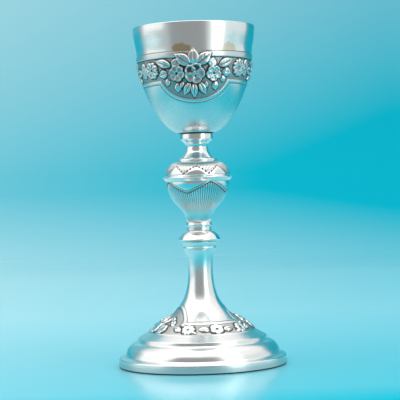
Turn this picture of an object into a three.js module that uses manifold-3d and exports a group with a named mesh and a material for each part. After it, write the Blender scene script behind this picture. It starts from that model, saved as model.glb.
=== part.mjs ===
// A silver altar chalice: a smooth cup in an embossed sleeve, on a stem of turned pieces over a hollow foot.
// Millimetres, +Z up, origin at the centre of the underside. The front faces -Y, and an angle round the axis
// is in degrees, to the right from the front. Each piece is drawn from its own lower end and then stacked.

import * as THREE from "three";
import { mergeVertices } from "three/addons/utils/BufferGeometryUtils.js";
import Module from "manifold-3d";

const wasm = await Module();
wasm.setup();

// Stack and facets
const SEAM = 0.25; // gap between two stacked pieces
const BOWL_COLUMNS = 24;
const FOOT_COLUMNS = 28;
const KNOP_COLUMNS = 24;
const SMALL_COLUMNS = 20;

// Foot: rim, ledge, domed tier, step, sloping tier, garland, flare, column, bead and cuff, from the ground up
const BASE_RADIUS = 64.6;
const RIM_HEIGHT = 6.2;
const RIM_ROUND = 1.2;
const BASE_RING_WIDTH = 4.1; // flat ring that the foot stands on
const LEDGE_WIDTH = 4.7;
const LEDGE_RISE = 1.4;
const DOME_RUN = 9.8;
const DOME_RISE = 10.4;
const DOME_BULGE = 3.2; // how far the domed tier stands out from a straight slope
const STEP_DRAFT = 0.5;
const STEP_HEIGHT = 2.7;
const TIER_RUN = 9.2;
const TIER_RISE = 4.9;
const BEADING_RADIUS = 0.55; // raised line under the foot's garland
const GARLAND_RUN = 9.4;
const GARLAND_RISE = 7.8;
const FLARE_RISE = 37.4;
const FLARE_REACH = 12.2; // how far in, and up, the flare is steered at its foot
const FLARE_LIFT = 6.4;
const FLARE_STRAIGHT = 22; // how far it is steered upright at its waist
const WAIST_RADIUS = 9.6;
const COLUMN_RISE = 17.2;
const COLUMN_STRAIGHT = 7.9;
const COLUMN_SPREAD = 3.4; // height over which the column widens most, at its top
const COLUMN_TOP_RADIUS = 12.1;
const COLUMN_BEAD_HEIGHT = 2;
const COLUMN_BEAD_PROUD = 0.6;
const CUFF_HEIGHT = 3.9;
const CUFF_RADIUS = 13.8;
const FOOT_WALL = 1.3;
const COLUMN_CAP = 1.6; // thickness of the plate that closes the column

// Stem ring
const RING_RADIUS = 16.2;
const RING_LIP = 1.6;
const RING_HEIGHT = 8.1;
const RING_TOP_RADIUS = 10;
const RING_FOOT_RADIUS = 14.2;

// Knop: neck, small roll, fluted vase, flange, dome, fillet and skirt, from its lower end up
const NECK_RADIUS = 9.45;
const NECK_HEIGHT = 5.8;
const ROLL_PROUD = 0.6;
const ROLL_HEIGHT = 2.2;
const VASE_HEIGHT = 31.7;
const VASE_RADIUS = 24.5;
const FLANGE_RADIUS = 27.1;
const FLANGE_HEIGHT = 5.2;
const FLANGE_EDGE = 0.9;
const DOME_RADIUS = 25.2;
const KNOP_DOME_HEIGHT = 10.5;
const FILLET_RADIUS = 15.1;
const FILLET_HEIGHT = 2;
const SKIRT_HEIGHT = 9.4;
const SKIRT_FOOT_RADIUS = 13.4;
const SKIRT_TOP_RADIUS = 8.5;
const FLUTES = 72;
const FLUTE_DEPTH = 0.45;
const FLUTE_END = 8; // height over the lower end where the flutes run out
const PANELS = 4; // plain pointed panels that hang from the flange over the flutes
const PANEL_DROP = 8.6;
const PANEL_ANGLE = -22.5;
const PANEL_PROUD = 0.3;

// Collar under the bowl
const COVE_RADIUS = 8.5;
const COVE_TOP_RADIUS = 12.2;
const COVE_HEIGHT = 4.8;
const DISC_RADIUS = 12.75;
const DISC_HEIGHT = 5.1;
const DISC_ROUND = 0.5;

// Sleeve and cup: the sleeve's outer curve leads, and the cup follows it at the clearance
const SLEEVE_FLOOR_RADIUS = 13.2;
const SLEEVE_RADIUS = 44.6;
const SLEEVE_HEIGHT = 59.1;
const FLOOR_REACH = 13.8; // how far out, and up, the curve of the bowl is steered at its lower end
const FLOOR_LIFT = 1.7;
const SIDE_REACH = 23.8; // how far down, and in, it is steered at its upper end
const SIDE_LEAN = 0.8;
const SLEEVE_WALL = 0.8;
const SLEEVE_CLEARANCE = 0.3;
const CUP_WALL = 1;
const EDGE_BAND_HEIGHT = 4.5;
const EDGE_BAND_PROUD = 0.3;
const LIP_HEIGHT = 21.95;
const LIP_FLARE = 2.5;
const LIP_TUCK = 0.1; // how far the lip starts inside the sleeve's outer edge
const CUP_FLOOR_RISE = 1.6; // rise of the cup's rounded floor at its rim

// Embossed garlands
const RELIEF_ROOT = 0.4; // how deep a motif is rooted in its wall
const MOTIF_RISE = 1.5;
const PETAL_EDGE = 0.55;
const STRIP_PROUD = 0.35;
const STRIP_WIDTH = 2.8;
const BOWL_SPRAYS = 2;
const BOWL_GARLAND_DROP = 15.8; // from the sleeve's edge down to the line of the flowers
const BOWL_STRIP_DROP = 22; // from the sleeve's edge down to the middle of the border strip
const BOWL_STRIP_DIP = 15.2;
const BOWL_DIP_HALF_ANGLE = 39;
const FOOT_PANEL_ANGLE = 17.5; // middle of the plain panel between two sprays of the foot
const FOOT_PANEL_HALF_ANGLE = 46.5;
const FOOT_STRIP_WIDTH = 3.2;
const FOOT_STRIP_RISE = 10; // how far the border climbs the flare over a spray
const FOOT_GARLAND_DROP = 0.6; // how far its flowers sit under the middle of their slope

// Motifs of the two garlands. angle is in degrees from the middle of a bowl spray, or of a plain panel of the
// foot, and is repeated on the other side. rise is over the line of the flowers, turn from straight up.
const BOWL_GARLAND = {
  flowers: [
    { angle: 0, rise: 0, radius: 7.4, petals: 5 },
    { angle: 19.3, rise: -0.3, radius: 5.8, petals: 5 },
    { angle: 49.4, rise: 3.6, radius: 6.5, petals: 6 },
    { angle: 90, rise: 2, radius: 6.2, petals: 5 },
  ],
  leaves: [
    { angle: 0, rise: 12.2, turn: 0, length: 12, width: 6.3 },
    { angle: 9.6, rise: 11, turn: 56, length: 13.6, width: 6 },
    { angle: 32.8, rise: 7.6, turn: 69, length: 14.2, width: 6 },
    { angle: 75.5, rise: 3.4, turn: 90, length: 12, width: 5.5 },
    { angle: 0, rise: -13.8, turn: 180, length: 9.5, width: 5 },
    { angle: 9.2, rise: -13.2, turn: 151, length: 10, width: 5 },
  ],
  fans: [{ angle: 58.5, rise: 4.4, turn: 90, radius: 6.4 }],
};
const FOOT_GARLAND = {
  flowers: [
    { angle: 0, rise: 0, radius: 4.6, petals: 5 },
    { angle: 36, rise: 0, radius: 4.6, petals: 5 },
    { angle: 73, rise: 0.5, radius: 4.4, petals: 5 },
    { angle: 90, rise: 1, radius: 5.4, petals: 5 },
  ],
  leaves: [
    { angle: 16, rise: 0, turn: 80, length: 9, width: 5 },
    { angle: 55, rise: 0.6, turn: 60, length: 8, width: 5 },
    { angle: 90, rise: 10.5, turn: 0, length: 9, width: 4.6 },
  ],
  fans: [],
};

const radians = THREE.MathUtils.degToRad;

// Points of a cubic curve from a to d that leaves a towards b and reaches d from c
function bend(a, b, c, d, steps) {
  const curve = new THREE.CubicBezierCurve(
    new THREE.Vector2(...a), new THREE.Vector2(...b), new THREE.Vector2(...c), new THREE.Vector2(...d),
  );
  return curve.getPoints(steps).map((p) => [p.x, p.y]);
}

// Points of a quadratic curve from a to c, steered by b
function arch(a, b, c, steps) {
  const curve = new THREE.QuadraticBezierCurve(
    new THREE.Vector2(...a), new THREE.Vector2(...b), new THREE.Vector2(...c),
  );
  return curve.getPoints(steps).map((p) => [p.x, p.y]);
}

const apart = (a, b) => Math.hypot(b[0] - a[0], b[1] - a[1]);

// The outline without points that repeat the one before
function chain(...stretches) {
  const points = stretches.flat();
  return points.filter((p, i) => i === 0 || apart(points[i - 1], p) > 1e-4);
}

// An outline moved to its left by a distance, with mitred corners
function moved(points, distance) {
  return points.map((p, i) => {
    const before = points[Math.max(i - 1, 0)];
    const after = points[Math.min(i + 1, points.length - 1)];
    const into = new THREE.Vector2(p[0] - before[0], p[1] - before[1]).normalize();
    const out = new THREE.Vector2(after[0] - p[0], after[1] - p[1]).normalize();
    const along = into.clone().add(out).normalize();
    const half = i === 0 || i === points.length - 1 ? 1 : Math.sqrt((1 + into.dot(out)) / 2);
    return [p[0] - (along.y * distance) / half, p[1] + (along.x * distance) / half];
  });
}

// A turned geometry: an outline of radius and height swept round the axis
function turned(points, columns) {
  const outline = points.map(([r, z]) => new THREE.Vector2(r, z));
  return new THREE.LatheGeometry(outline, columns).rotateX(Math.PI / 2);
}

// A closed geometry as a solid that can be joined and cut
function solid(geometry) {
  const bare = geometry.clone();
  bare.deleteAttribute("normal");
  bare.deleteAttribute("uv");
  const merged = mergeVertices(bare, 1e-4);
  return new wasm.Manifold(
    new wasm.Mesh({
      numProp: 3,
      vertProperties: merged.attributes.position.array,
      triVerts: new Uint32Array(merged.index.array),
    }),
  );
}

// A solid back as a geometry for drawing
function drawn(body) {
  const mesh = body.getMesh();
  const geometry = new THREE.BufferGeometry();
  geometry.setAttribute("position", new THREE.BufferAttribute(mesh.vertProperties, 3));
  geometry.setIndex(new THREE.BufferAttribute(mesh.triVerts, 1));
  geometry.computeVertexNormals();
  return geometry;
}

// The surface of a turned wall, addressed by angle, distance along its outline and height over it.
// The outline runs upwards, and the radius follows the flats between the columns.
function wallOf(points, columns) {
  const lengths = [0];
  for (let i = 1; i < points.length; i++) {
    lengths.push(lengths[i - 1] + apart(points[i - 1], points[i]));
  }
  const flat = 360 / columns;
  const stretchAt = (s) => {
    let i = 1;
    while (i < points.length - 1 && lengths[i] < s) i++;
    return i;
  };
  const place = (s) => {
    const i = stretchAt(s);
    const share = (s - lengths[i - 1]) / (lengths[i] - lengths[i - 1]);
    const [r0, z0] = points[i - 1];
    const [r1, z1] = points[i];
    const run = new THREE.Vector2(r1 - r0, z1 - z0).normalize();
    return { r: r0 + (r1 - r0) * share, z: z0 + (z1 - z0) * share, run };
  };
  return {
    length: lengths[lengths.length - 1],
    // Distance along the outline at which it reaches a height
    reach(z) {
      let i = 1;
      while (i < points.length - 1 && points[i][1] < z) i++;
      const share = (z - points[i - 1][1]) / (points[i][1] - points[i - 1][1]);
      return lengths[i - 1] + (lengths[i] - lengths[i - 1]) * share;
    },
    radius: (s) => place(s).r,
    at(angle, s, height) {
      const { r, z, run } = place(s);
      const off = (((angle % flat) + flat) % flat) - flat / 2;
      const onFlat = (r * Math.cos(radians(flat / 2))) / Math.cos(radians(off));
      const out = onFlat + run.y * height;
      return new THREE.Vector3(
        out * Math.sin(radians(angle)), -out * Math.cos(radians(angle)), z - run.x * height,
      );
    },
  };
}

// A closed geometry from vertices and triangles
function body(vertices, triangles) {
  const geometry = new THREE.BufferGeometry().setFromPoints(vertices);
  geometry.setIndex(triangles);
  return geometry;
}

// A motif on a wall: an outline of [across, along, height] round one raised middle point, with its root sunk
// in the wall. angle and s give its middle, turn its direction from straight up, to the right.
function motif(wall, { angle, s, turn = 0, outline, middle }) {
  const cos = Math.cos(radians(turn));
  const sin = Math.sin(radians(turn));
  const put = (across, along, height) => {
    const u = across * cos + along * sin;
    const v = along * cos - across * sin;
    return wall.at(angle + THREE.MathUtils.radToDeg(u / wall.radius(s + v)), s + v, height);
  };
  const n = outline.length;
  const vertices = [
    ...outline.map(([u, v, h]) => put(u, v, h)),
    ...outline.map(([u, v]) => put(u, v, -RELIEF_ROOT)),
    put(middle[0], middle[1], middle[2]),
    put(middle[0], middle[1], -RELIEF_ROOT),
  ];
  const triangles = [];
  for (let i = 0; i < n; i++) {
    const next = (i + 1) % n;
    triangles.push(i, next, 2 * n);
    triangles.push(n + i, n + next, next, n + i, next, i);
    triangles.push(n + next, n + i, 2 * n + 1);
  }
  return solid(body(vertices, triangles));
}

// Outline of an open flower, with its petals round a raised heart
function flower({ radius, petals }) {
  const outline = [];
  for (let i = 0; i < petals * 2; i++) {
    const tip = i % 2 === 0;
    const reach = tip ? radius : radius * 0.74;
    const around = (i * Math.PI) / petals;
    outline.push([reach * Math.cos(around), reach * Math.sin(around), tip ? PETAL_EDGE : PETAL_EDGE * 0.4]);
  }
  return { outline, middle: [0, 0, MOTIF_RISE] };
}

// Outline of a leaf from its stalk end to its tip, with a raised rib
function leaf({ length, width }) {
  const outline = [
    [0, -length / 2, PETAL_EDGE * 0.5],
    [width / 2, -length * 0.04, PETAL_EDGE],
    [0, length / 2, PETAL_EDGE],
    [-width / 2, -length * 0.04, PETAL_EDGE],
  ];
  return { outline, middle: [0, length * 0.02, MOTIF_RISE * 0.85] };
}

// Three petals that spread one way from a flower's heart
function fan({ radius }) {
  const outline = [[0, -radius * 0.35, PETAL_EDGE * 0.5]];
  for (let i = 0; i <= 4; i++) {
    const around = radians(10 + i * 40);
    const reach = i % 2 === 0 ? radius : radius * 0.72;
    outline.push([reach * Math.cos(around), reach * Math.sin(around), PETAL_EDGE]);
  }
  return { outline, middle: [0, radius * 0.35, MOTIF_RISE * 0.9] };
}

// The motifs of a garland on a wall, for two middles half a turn apart. line is the flowers' place along the
// outline, and what stands on the middle or a quarter turn from it isn't mirrored.
function garland(wall, line, firstMiddle, motifs) {
  const pieces = [];
  const add = (list, shape) => list.forEach((size) => {
    for (const middle of [firstMiddle, firstMiddle + 180]) {
      for (const side of size.angle % 90 === 0 ? [1] : [-1, 1]) {
        const angle = middle + side * size.angle;
        const turn = side * (size.turn ?? 0);
        pieces.push(motif(wall, { angle, s: line + size.rise, turn, ...shape(size) }));
      }
    }
  });
  add(motifs.flowers, flower);
  add(motifs.leaves, leaf);
  add(motifs.fans, fan);
  return pieces;
}

// A raised strip of even width that runs once round a wall, through [angle, s] at its middle line
function strip(wall, route, width, proud) {
  const n = route.length;
  const vertices = [];
  route.forEach(([angle, s], i) => {
    const [angleBefore, before] = route[(i - 1 + n) % n];
    const [angleAfter, after] = route[(i + 1) % n];
    const turn = (((angleAfter - angleBefore) % 360) + 360) % 360;
    const run = new THREE.Vector2(radians(turn) * wall.radius(s), after - before).normalize();
    for (const [side, height] of [[-1, -RELIEF_ROOT], [-1, proud], [1, proud], [1, -RELIEF_ROOT]]) {
      const u = (-run.y * side * width) / 2;
      const v = (run.x * side * width) / 2;
      const at = s + v;
      vertices.push(wall.at(angle + THREE.MathUtils.radToDeg(u / wall.radius(at)), at, height));
    }
  });
  const triangles = [];
  for (let i = 0; i < n; i++) {
    const a = i * 4;
    const b = ((i + 1) % n) * 4;
    for (let k = 0; k < 4; k++) {
      const l = (k + 1) % 4;
      triangles.push(a + k, b + k, b + l, a + k, b + l, a + l);
    }
  }
  return solid(body(vertices, triangles));
}

// Foot
function footOutline() {
  const ledgeRadius = BASE_RADIUS - RIM_ROUND;
  const ledgeZ = RIM_HEIGHT + RIM_ROUND;
  const domeRadius = BASE_RADIUS - LEDGE_WIDTH;
  const domeZ = ledgeZ + LEDGE_RISE;
  const stepRadius = domeRadius - DOME_RUN;
  const stepZ = domeZ + DOME_RISE;
  const tierRadius = stepRadius - STEP_DRAFT;
  const tierZ = stepZ + STEP_HEIGHT;
  const garlandRadius = tierRadius - TIER_RUN;
  const garlandZ = tierZ + TIER_RISE;
  const flareRadius = garlandRadius - GARLAND_RUN;
  const flareZ = garlandZ + GARLAND_RISE;
  const waistZ = flareZ + FLARE_RISE;
  const topZ = waistZ + COLUMN_RISE;
  const beadZ = topZ + COLUMN_BEAD_HEIGHT;
  const cuffZ = beadZ + CUFF_HEIGHT;

  const domeMiddle = [
    (domeRadius + stepRadius) / 2 + DOME_BULGE,
    (domeZ + stepZ) / 2 + DOME_BULGE * (DOME_RUN / DOME_RISE),
  ];
  const dome = arch([domeRadius, domeZ], domeMiddle, [stepRadius, stepZ], 3);
  const flare = bend(
    [flareRadius, flareZ],
    [flareRadius - FLARE_REACH, flareZ + FLARE_LIFT],
    [WAIST_RADIUS, waistZ - FLARE_STRAIGHT],
    [WAIST_RADIUS, waistZ],
    6,
  );
  const column = bend(
    [WAIST_RADIUS, waistZ],
    [WAIST_RADIUS, waistZ + COLUMN_STRAIGHT],
    [(WAIST_RADIUS + COLUMN_TOP_RADIUS) / 2, topZ - COLUMN_SPREAD],
    [COLUMN_TOP_RADIUS, topZ],
    2,
  );
  const beading = [
    [garlandRadius + BEADING_RADIUS, garlandZ - BEADING_RADIUS * 0.4],
    [garlandRadius + BEADING_RADIUS * 0.7, garlandZ + BEADING_RADIUS * 0.7],
  ];
  const wall = chain([[garlandRadius, garlandZ]], flare);
  const outer = chain(
    [
      [BASE_RADIUS, 0],
      [BASE_RADIUS, RIM_HEIGHT + RIM_ROUND * 0.3],
      [ledgeRadius, ledgeZ],
    ],
    dome,
    [[tierRadius, tierZ]],
    beading,
    wall,
    column,
    [
      [COLUMN_TOP_RADIUS + COLUMN_BEAD_PROUD, topZ + COLUMN_BEAD_HEIGHT * 0.5],
      [COLUMN_TOP_RADIUS + COLUMN_BEAD_PROUD * 0.4, beadZ],
      [CUFF_RADIUS - COLUMN_BEAD_PROUD * 0.5, beadZ + CUFF_HEIGHT * 0.5],
      [CUFF_RADIUS, cuffZ],
      [0, cuffZ],
    ],
  );
  // The inner face runs under the tiers, the flare and the column at one wall thickness
  const lining = moved(
    chain(
      [dome[0], dome[2], [tierRadius - STEP_DRAFT, stepZ + STEP_HEIGHT / 2], [garlandRadius, garlandZ]],
      [flare[0], flare[2], flare[4], flare[6], column[1]],
    ),
    FOOT_WALL,
  );
  const last = lining[lining.length - 1];
  const inner = [
    [BASE_RADIUS - BASE_RING_WIDTH, 0],
    [BASE_RADIUS - BASE_RING_WIDTH, RIM_HEIGHT],
    ...lining,
    [last[0], cuffZ - COLUMN_CAP],
    [0, cuffZ - COLUMN_CAP],
  ];
  return { profile: [...inner.slice().reverse(), ...outer], wall, flareZ, garlandZ, cuffZ };
}

// Border of the foot: level under the plain panels, and climbing the flare in an arch over each spray
function footBorder(wall, flareZ) {
  const route = [];
  for (let i = 0; i < FOOT_COLUMNS; i++) {
    const angle = (i * 360) / FOOT_COLUMNS;
    const fromSpray = Math.abs((((angle - FOOT_PANEL_ANGLE) % 180) + 180) % 180 - 90);
    const share = fromSpray / (90 - FOOT_PANEL_HALF_ANGLE);
    const climb = share < 1 ? Math.sqrt(1 - share * share) : 0;
    route.push([angle, wall.reach(flareZ + climb * FOOT_STRIP_RISE)]);
  }
  return route;
}

function foot() {
  const { profile, wall, flareZ, garlandZ } = footOutline();
  const surface = wallOf(wall, FOOT_COLUMNS);
  const line = surface.reach((garlandZ + flareZ) / 2 - FOOT_GARLAND_DROP);
  const pieces = garland(surface, line, FOOT_PANEL_ANGLE, FOOT_GARLAND);
  pieces.push(strip(surface, footBorder(surface, flareZ), FOOT_STRIP_WIDTH, STRIP_PROUD));
  return solid(turned(profile, FOOT_COLUMNS)).add(wasm.Manifold.union(pieces));
}

// Stem ring
function ring() {
  const outline = chain(
    [[0, 0], [RING_FOOT_RADIUS, 0], [RING_RADIUS, RING_LIP * 0.7], [RING_RADIUS, RING_LIP]],
    arch(
      [RING_RADIUS - 0.2, RING_LIP + 0.2],
      [RING_RADIUS - 1.2, RING_HEIGHT * 0.78],
      [RING_TOP_RADIUS, RING_HEIGHT],
      4,
    ),
    [[0, RING_HEIGHT]],
  );
  return turned(outline, SMALL_COLUMNS);
}

// Knop
const vaseZ = NECK_HEIGHT;
const flangeZ = vaseZ + VASE_HEIGHT;
const knopDomeZ = flangeZ + FLANGE_HEIGHT;
const filletZ = knopDomeZ + KNOP_DOME_HEIGHT;
const skirtZ = filletZ + FILLET_HEIGHT;
const knopHeight = skirtZ + SKIRT_HEIGHT;

// Height of the lower edge of the plain panels at an angle: pointed between them, rounded below
function panelEdge(angle) {
  const pitch = 360 / PANELS;
  const off = Math.abs((((angle - PANEL_ANGLE + pitch / 2) % pitch) + pitch) % pitch - pitch / 2);
  const share = off / (pitch / 2);
  return flangeZ - PANEL_DROP * (1 - share ** 1.6);
}

// One ring of the knop: FLUTES ridges with grooves between them where depth is over zero, else a plain ring
function knopRing(radius, z, fluted) {
  const points = [];
  const count = fluted ? FLUTES * 2 : KNOP_COLUMNS;
  for (let i = 0; i < count; i++) {
    const angle = (i * 360) / count;
    const plain = z > panelEdge(angle);
    const groove = fluted && !plain && i % 2 === 1 ? FLUTE_DEPTH : 0;
    const r = radius - groove + (fluted && plain ? PANEL_PROUD : 0);
    points.push(new THREE.Vector3(r * Math.sin(radians(angle)), -r * Math.cos(radians(angle)), z));
  }
  return points;
}

function knop() {
  const neckTop = [NECK_RADIUS + 0.3, vaseZ];
  const waist = [NECK_RADIUS + 8, vaseZ + VASE_HEIGHT * 0.46];
  const lowerVase = bend(
    neckTop,
    [neckTop[0], vaseZ + 5],
    [waist[0] - 4, waist[1] - 4.4],
    waist,
    2,
  );
  const upperVase = bend(
    waist,
    [waist[0] + 4.4, waist[1] + 4.8],
    [VASE_RADIUS - 0.6, flangeZ - 5.2],
    [VASE_RADIUS, flangeZ],
    2,
  );
  const below = [
    [0, 0],
    [NECK_RADIUS, 0],
    [NECK_RADIUS, vaseZ - ROLL_HEIGHT * 1.6],
    [NECK_RADIUS + ROLL_PROUD, vaseZ - ROLL_HEIGHT * 1.2],
    [NECK_RADIUS + ROLL_PROUD, vaseZ - ROLL_HEIGHT * 0.6],
    [NECK_RADIUS + 0.2, vaseZ - ROLL_HEIGHT * 0.2],
  ];
  const vase = chain(lowerVase, upperVase);
  const above = chain(
    [
      [VASE_RADIUS, flangeZ + 0.4],
      [FLANGE_RADIUS - 0.5, flangeZ + FLANGE_HEIGHT * 0.45],
      [FLANGE_RADIUS, flangeZ + FLANGE_HEIGHT * 0.45 + FLANGE_EDGE * 0.5],
      [FLANGE_RADIUS - 0.2, flangeZ + FLANGE_HEIGHT * 0.45 + FLANGE_EDGE],
      [DOME_RADIUS, knopDomeZ - 0.3],
    ],
    bend(
      [DOME_RADIUS - 0.2, knopDomeZ],
      [DOME_RADIUS - 0.6, knopDomeZ + KNOP_DOME_HEIGHT * 0.5],
      [FILLET_RADIUS + 5.6, filletZ - 0.6],
      [FILLET_RADIUS, filletZ],
      3,
    ),
    [
      [FILLET_RADIUS + 0.4, filletZ + FILLET_HEIGHT * 0.35],
      [FILLET_RADIUS, skirtZ - FILLET_HEIGHT * 0.1],
    ],
    bend(
      [SKIRT_FOOT_RADIUS, skirtZ + 0.3],
      [SKIRT_FOOT_RADIUS - 3, skirtZ + 3.4],
      [SKIRT_TOP_RADIUS, skirtZ + 5],
      [SKIRT_TOP_RADIUS, knopHeight],
      3,
    ),
    [[0, knopHeight]],
  );
  const rings = [];
  const add = (points, fluted) => points.forEach(([r, z]) => {
    rings.push(r < 1e-6 ? [new THREE.Vector3(0, 0, z)] : knopRing(r, z, fluted));
  });
  const fluteStart = vase.findIndex(([, z]) => z >= FLUTE_END);
  add(below, false);
  add(vase.slice(0, fluteStart), false);
  add(vase.slice(fluteStart), true);
  add(above, false);
  return stitched(rings);
}

// A closed geometry through rings, from the lowest up: one point ends it, and a finer ring fans out
function stitched(rings) {
  const starts = [];
  let count = 0;
  for (const points of rings) {
    starts.push(count);
    count += points.length;
  }
  const triangles = [];
  for (let k = 0; k + 1 < rings.length; k++) {
    const low = rings[k].length;
    const high = rings[k + 1].length;
    const lowAt = (i) => starts[k] + (i % low);
    const highAt = (i) => starts[k + 1] + (i % high);
    const steps = Math.max(low, high);
    for (let i = 0; i < steps; i++) {
      const a = Math.floor((i * low) / steps);
      const b = Math.floor((i * high) / steps);
      const a2 = Math.floor(((i + 1) * low) / steps);
      const b2 = Math.floor(((i + 1) * high) / steps);
      if (a2 > a && low > 1) triangles.push(lowAt(a), lowAt(a2), highAt(b));
      if (b2 > b && high > 1) triangles.push(lowAt(a2), highAt(b2), highAt(b));
    }
  }
  return body(rings.flat(), triangles);
}

// Collar
const collarHeight = COVE_HEIGHT + DISC_HEIGHT;
function collar() {
  const outline = chain(
    [[0, 0]],
    bend(
      [COVE_RADIUS, 0],
      [COVE_RADIUS + 0.4, COVE_HEIGHT * 0.55],
      [COVE_TOP_RADIUS - 1, COVE_HEIGHT * 0.8],
      [COVE_TOP_RADIUS, COVE_HEIGHT],
      4,
    ),
    [
      [DISC_RADIUS, COVE_HEIGHT + DISC_ROUND],
      [DISC_RADIUS, collarHeight - DISC_ROUND],
      [DISC_RADIUS - DISC_ROUND, collarHeight],
      [0, collarHeight],
    ],
  );
  return turned(outline, SMALL_COLUMNS);
}

// Sleeve
const bowlCurve = bend(
  [SLEEVE_FLOOR_RADIUS, 0],
  [SLEEVE_FLOOR_RADIUS + FLOOR_REACH, FLOOR_LIFT],
  [SLEEVE_RADIUS - SIDE_LEAN, SLEEVE_HEIGHT - SIDE_REACH],
  [SLEEVE_RADIUS, SLEEVE_HEIGHT],
  6,
);

// The bowl's curve at a distance inside the sleeve's outer face, ended level with the sleeve's edge
function insideCurve(distance) {
  const line = moved(bowlCurve, distance);
  line[line.length - 1][1] = SLEEVE_HEIGHT;
  return line;
}

// Border of the sleeve: level between the sprays, and dipping in a round arc under each
function sleeveBorder(surface) {
  const level = SLEEVE_HEIGHT - BOWL_STRIP_DROP;
  const pitch = 360 / BOWL_SPRAYS;
  const half = radians(BOWL_DIP_HALF_ANGLE) * SLEEVE_RADIUS;
  const arcRadius = (half ** 2 + BOWL_STRIP_DIP ** 2) / (2 * BOWL_STRIP_DIP);
  const route = [];
  for (let i = 0; i < BOWL_COLUMNS; i++) {
    const angle = (i * 360) / BOWL_COLUMNS;
    const off = Math.abs(((angle + pitch / 2) % pitch) - pitch / 2);
    const across = radians(off) * SLEEVE_RADIUS;
    const fall = Math.sqrt(Math.max(arcRadius ** 2 - across ** 2, 0)) - arcRadius + BOWL_STRIP_DIP;
    const dip = Math.max(fall, 0);
    route.push([angle, surface.reach(level - dip)]);
  }
  return route;
}

function sleeve() {
  const inner = insideCurve(SLEEVE_WALL);
  const floorZ = inner[0][1];
  const bandZ = SLEEVE_HEIGHT - EDGE_BAND_HEIGHT;
  const below = bowlCurve.filter(([, z]) => z < bandZ - 1);
  const surface = wallOf(bowlCurve, BOWL_COLUMNS);
  const bandRadius = surface.radius(surface.reach(bandZ));
  const profile = [
    [0, 0],
    ...below,
    [bandRadius, bandZ],
    [bandRadius + EDGE_BAND_PROUD, bandZ],
    [SLEEVE_RADIUS + EDGE_BAND_PROUD, SLEEVE_HEIGHT],
    ...inner.slice().reverse(),
    [0, floorZ],
  ];
  const line = surface.reach(SLEEVE_HEIGHT - BOWL_GARLAND_DROP);
  const pieces = garland(surface, line, 0, BOWL_GARLAND);
  pieces.push(strip(surface, sleeveBorder(surface), STRIP_WIDTH, STRIP_PROUD));
  const lipRoom = solid(turned(lipRoomOutline(), BOWL_COLUMNS));
  return solid(turned(profile, BOWL_COLUMNS)).add(wasm.Manifold.union(pieces)).subtract(lipRoom);
}

// Cup: the lip's outer line over the sleeve, from its lower end up
function lipLine() {
  const start = SLEEVE_RADIUS - LIP_TUCK;
  const lowZ = SLEEVE_HEIGHT + SEAM;
  const topZ = lowZ + LIP_HEIGHT;
  return bend(
    [start, lowZ],
    [start + LIP_FLARE * 0.15, lowZ + LIP_HEIGHT * 0.36],
    [start + LIP_FLARE, lowZ + LIP_HEIGHT * 0.55],
    [start + LIP_FLARE + LIP_TUCK, topZ],
    3,
  );
}

// Room that the sleeve's leaf tips leave for the lip
function lipRoomOutline() {
  const lip = lipLine();
  const out = lip.map(([r, z]) => [r + SEAM, z]);
  const low = out[0];
  return [
    [SLEEVE_RADIUS - SLEEVE_WALL - SLEEVE_CLEARANCE / 2, low[1] - SEAM / 2],
    [low[0], low[1] - SEAM / 2],
    ...out.slice(1),
    [SLEEVE_RADIUS - SLEEVE_WALL - SLEEVE_CLEARANCE / 2, out[out.length - 1][1]],
    [SLEEVE_RADIUS - SLEEVE_WALL - SLEEVE_CLEARANCE / 2, low[1] - SEAM / 2],
  ];
}

function cup() {
  const lip = lipLine();
  const topZ = lip[lip.length - 1][1];
  const rebate = SLEEVE_WALL + SLEEVE_CLEARANCE;
  const outerLow = insideCurve(rebate);
  const floorZ = outerLow[0][1];
  // The wall is thickest at the sleeve's edge, where the rebate ends, and thins to the rim
  const lipInside = lip.map(([r, z]) => {
    const share = (topZ - z) / LIP_HEIGHT;
    return [r - CUP_WALL - rebate * share, z];
  });
  const floorEdgeZ = floorZ + CUP_WALL + CUP_FLOOR_RISE;
  const innerLow = insideCurve(rebate + CUP_WALL).filter(([, z]) => z > floorEdgeZ).slice(0, -1);
  const floor = innerLow[0];
  const inside = chain(
    bend(
      [0, floorZ + CUP_WALL],
      [floor[0] * 0.4, floorZ + CUP_WALL],
      [floor[0] * 0.8, floor[1] - CUP_FLOOR_RISE * 0.5],
      floor,
      2,
    ),
    innerLow,
    lipInside,
  );
  const profile = [
    [0, floorZ],
    ...outerLow.slice(0, -1),
    [SLEEVE_RADIUS - rebate, SLEEVE_HEIGHT + SEAM],
    ...lip,
    ...inside.slice().reverse(),
  ];
  return turned(profile, BOWL_COLUMNS);
}

// Finishes
const silver = (roughness) => new THREE.MeshStandardMaterial({ color: 0xc9cccd, metalness: 1, roughness });
const FINISH = {
  foot: silver(0.26),
  stem_ring: silver(0.24),
  knop: silver(0.3),
  collar: silver(0.24),
  bowl_sleeve: silver(0.32),
  bowl: silver(0.22),
};

// Stack
const ringZ = footOutline().cuffZ + SEAM;
const knopZ = ringZ + RING_HEIGHT + SEAM;
const collarZ = knopZ + knopHeight + SEAM;
const sleeveZ = collarZ + collarHeight + SEAM;

const chalice = new THREE.Group();
chalice.name = "chalice";

function place(name, geometry, z) {
  const mesh = new THREE.Mesh(geometry, FINISH[name]);
  mesh.name = name;
  mesh.position.z = z;
  chalice.add(mesh);
}

place("foot", drawn(foot()), 0);
place("stem_ring", ring(), ringZ);
place("knop", knop(), knopZ);
place("collar", collar(), collarZ);
place("bowl_sleeve", drawn(sleeve()), sleeveZ);
place("bowl", cup(), sleeveZ);

export default chalice;
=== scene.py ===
import math

import bpy
import numpy as np
from mathutils import Matrix, Vector


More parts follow.
